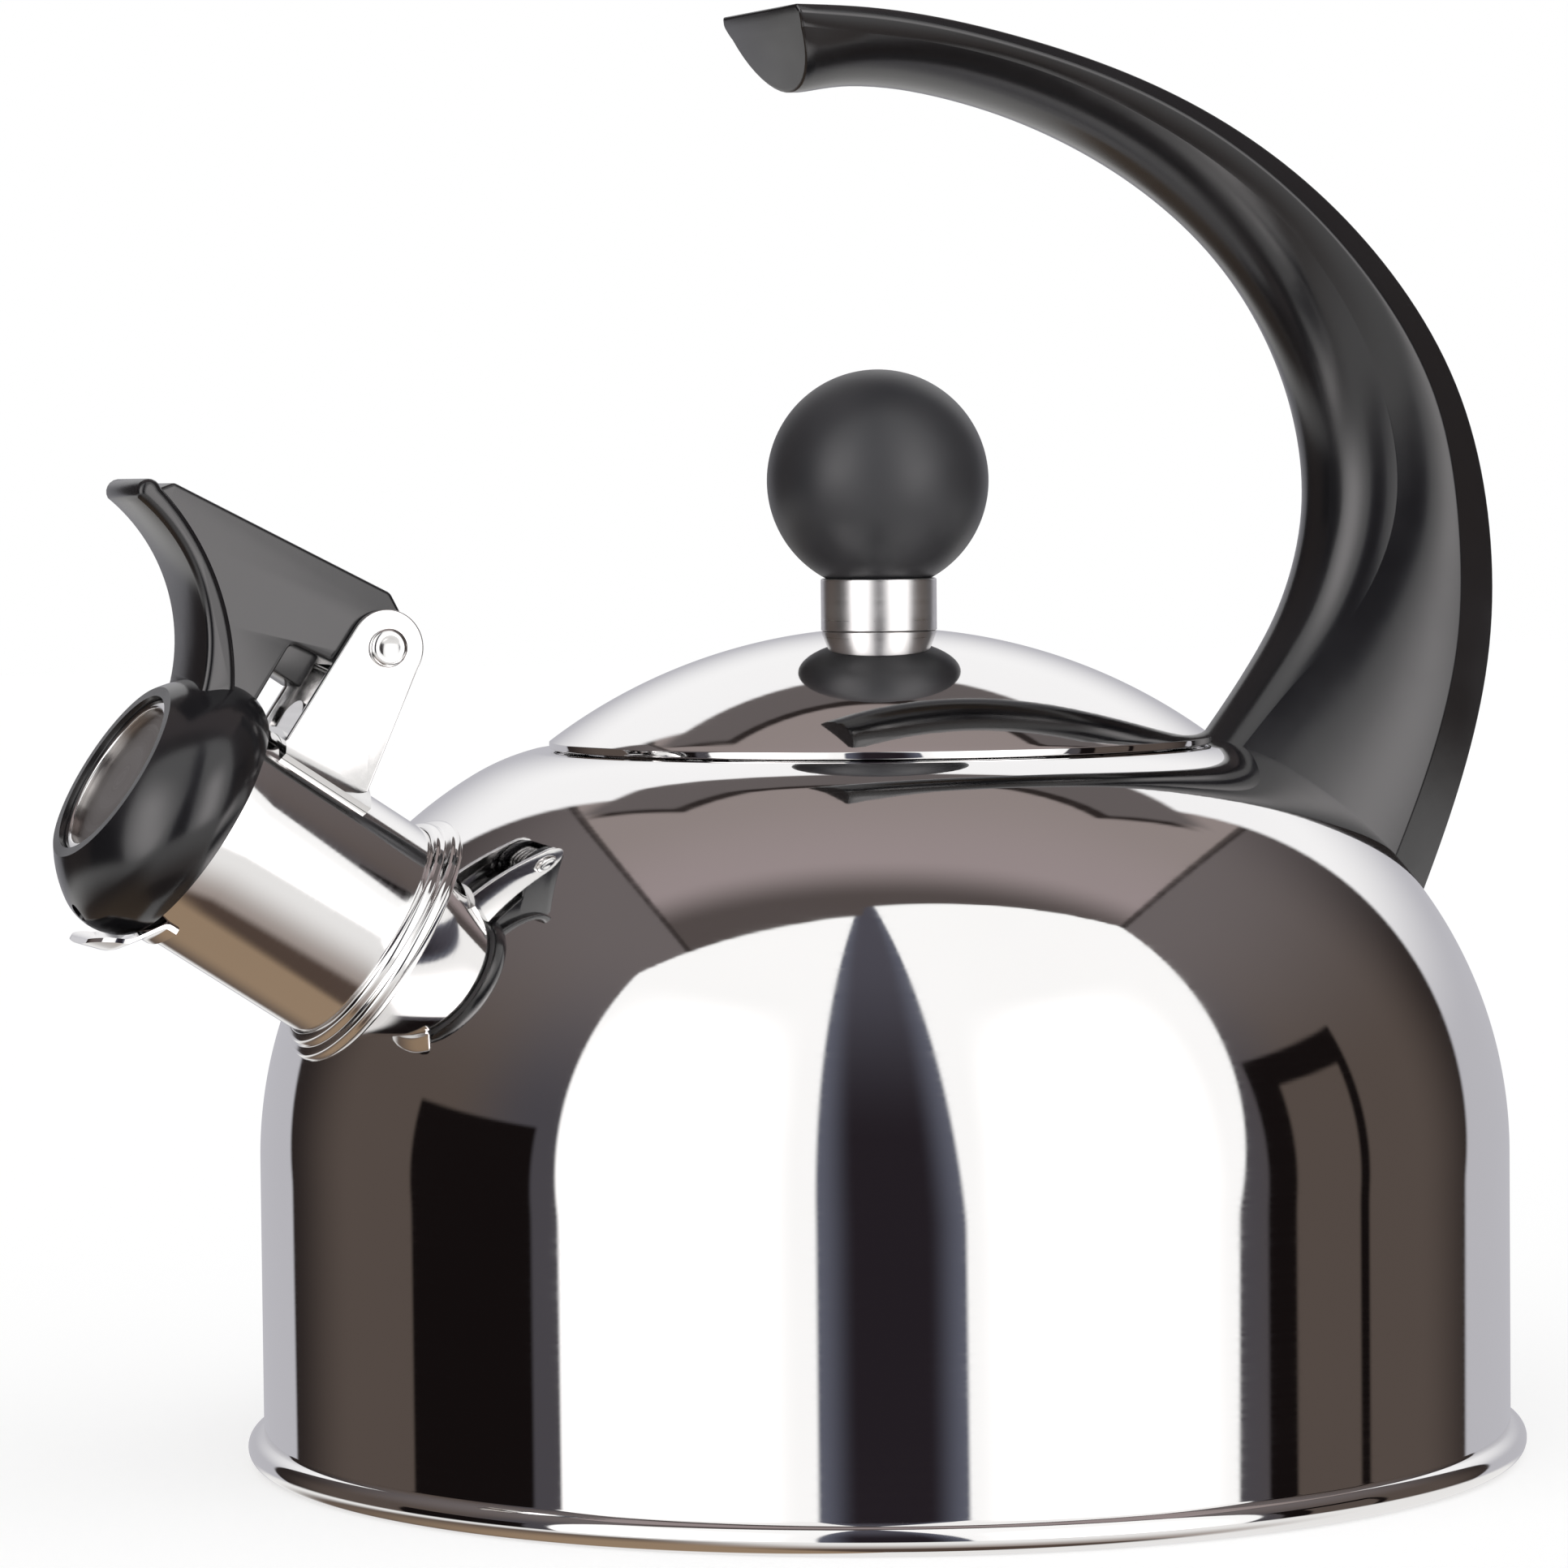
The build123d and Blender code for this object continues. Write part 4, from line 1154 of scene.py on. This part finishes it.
# --- Handle ---
# One arm of glossy black bakelite, thick at its root on the shoulder and thin over the lid: a flat
# back with long bevels, swelling sides, a rounded ridge inside and a blunt tip. Held by two screws
# from inside.
handle_half_width = 15.0
bevel_slope = 0.62
side_swell = 0.07
root_drop = 14.8
tip_round = 0.6
seat_foot = 24
insert_cut = (-2, 13)
# Sections from the tip down: outer edge from the middle of the root (out, up), direction inwards
# in degrees, thickness, bevel depth, height and half width of the inner ridge
handle_stations = (
    (-97.9, 129.6, -67.0, 13.7, 1.2, 10.0, 13.8),
    (-86.1, 129.4, -90.0, 11.6, 1.4, 7.6, 13.8),
    (-59.0, 125.3, -104.0, 9.9, 1.8, 5.8, 13.6),
    (-30.5, 116.2, -115.0, 11.6, 2.6, 5.8, 13.3),
    (-8.5, 103.7, -128.0, 14.5, 4.0, 6.8, 12.9),
    (7.1, 89.7, -146.0, 18.2, 5.2, 8.0, 12.5),
    (20.1, 70.8, -166.0, 23.2, 6.7, 9.2, 12.0),
    (26.8, 48.1, -182.0, 28.3, 8.9, 9.2, 11.5),
    (26.8, 28.2, -192.0, 33.5, 9.4, 6.8, 10.0),
    (22.8, 10.4, -204.0, 38.0, 9.9, 4.4, 8.0),
    (11.2, -19.1, -214.4, 46.4, 11.2, 3.2, 6.5),
)


def through_stations(stations, places, wanted):
    """Values at the wanted places on natural cubics through the stations."""
    values = np.array(stations, float)
    gaps = np.diff(places)
    count = len(places)
    system, right = np.eye(count), np.zeros_like(values)
    for k in range(1, count - 1):
        system[k, k - 1 : k + 2] = gaps[k - 1], 2 * (gaps[k - 1] + gaps[k]), gaps[k]
        slopes = (values[k + 1] - values[k]) / gaps[k] - (values[k] - values[k - 1]) / gaps[k - 1]
        right[k] = 6 * slopes
    bends = np.linalg.solve(system, right)
    rows = []
    for place in wanted:
        k = min(max(int(np.searchsorted(places, place)) - 1, 0), count - 2)
        a, b = places[k + 1] - place, place - places[k]
        rows.append(
            (bends[k] * a**3 + bends[k + 1] * b**3) / (6 * gaps[k])
            + (values[k] / gaps[k] - bends[k] * gaps[k] / 6) * a
            + (values[k + 1] / gaps[k] - bends[k + 1] * gaps[k] / 6) * b
        )
    return rows


def handle_section(thick, bevel, ridge, ridge_half, inset):
    """Outline of the handle across its length: (sideways, inwards), drawn in by an inset."""
    side = handle_half_width
    flat = side - bevel * bevel_slope
    crease = thick - ridge
    inner = arc_through((ridge_half, crease), (0, thick), (-ridge_half, crease), 20)
    swell = side_swell * (crease - bevel)
    flank = []
    for share in (1 / 6, 1 / 3, 1 / 2, 2 / 3, 5 / 6):
        x = side + (ridge_half - side) * share + 4 * swell * share * (1 - share)
        flank.append((x, bevel + (crease - bevel) * share))
    outline = soften(
        [
            (-side, bevel, 0.9),
            (-flat, 0, 0.7),
            (-flat / 2, 0),
            (0, 0),
            (flat / 2, 0),
            (flat, 0, 0.7),
            (side, bevel, 0.9),
            *flank,
            (ridge_half, crease, 0.8),
            *inner[1:-1],
            (-ridge_half, crease, 0.8),
            *((-x, y) for x, y in reversed(flank)),
        ]
    )
    middle = thick / 2
    return [
        (x * (1 - inset / side), middle + (y - middle) * (1 - inset / middle)) for x, y in outline
    ]


chords = [hypot(b[0] - a[0], b[1] - a[1]) for a, b in zip(handle_stations, handle_stations[1:])]
station_places = np.concatenate(([0], np.cumsum(chords)))
rounding = [radians(90 - 18 * step) for step in range(6)]
handle_cuts = [(tip_round * (1 - sin(a)), tip_round * (1 - cos(a))) for a in rounding]
handle_length = station_places[-1]
handle_cuts += [(tip_round + (handle_length - tip_round) * k / 96, 0) for k in range(1, 97)]
root_x, root_z = shoulder_spot(crown_angle - root_drop)
sections = through_stations(handle_stations, station_places, [place for place, _ in handle_cuts])
handle_rows = []
for (_, inset), station in zip(handle_cuts, sections):
    out, up, inwards, *shape = (float(value) for value in station)
    x_in, z_in = cos(radians(inwards)), sin(radians(inwards))
    outline = handle_section(*shape, inset)
    handle_rows.append([(root_x + out + x_in * y, x, root_z + up + z_in * y) for x, y in outline])
handle_arm = loft("handle_arm", handle_rows, crease=26)
seat_outline = [(0, seat_foot), (body_radius + weld_gap, seat_foot), *body_skin(weld_gap)]
seat_outline.append((0, rim_z + weld_gap))
handle_tools = [turn("seat", seat_outline, 288)]
handle_tools += [punch(insert_radius, *insert_cut, 48, screw_place(a)) for a in screw_angles]
carve(handle_arm, handle_tools, crease=26)
settle(handle_arm, black_bakelite, "kettle", "handle")

# --- Fasteners inside ---
# Brass inserts moulded into the handle and the knob, bright screws and washers, and silicone
# seals under the handle's washers. They sit inside the kettle and keep their solids' shapes.
brass = buffed_steel("brass", (0.72, 0.52, 0.24), (0.2, 0.34), 1100, 0.1)


def dress(node, material):
    """Give a carried-over solid its finish in every slot."""
    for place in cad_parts[node].material_slots:
        place.material = material


for node in ("handle_inserts", "knob_insert"):
    dress(node, brass)
for node in ("handle_screws", "handle_washers", "lid_screw", "lid_washer"):
    dress(node, bright_steel)
dress("handle_seals", silicone)
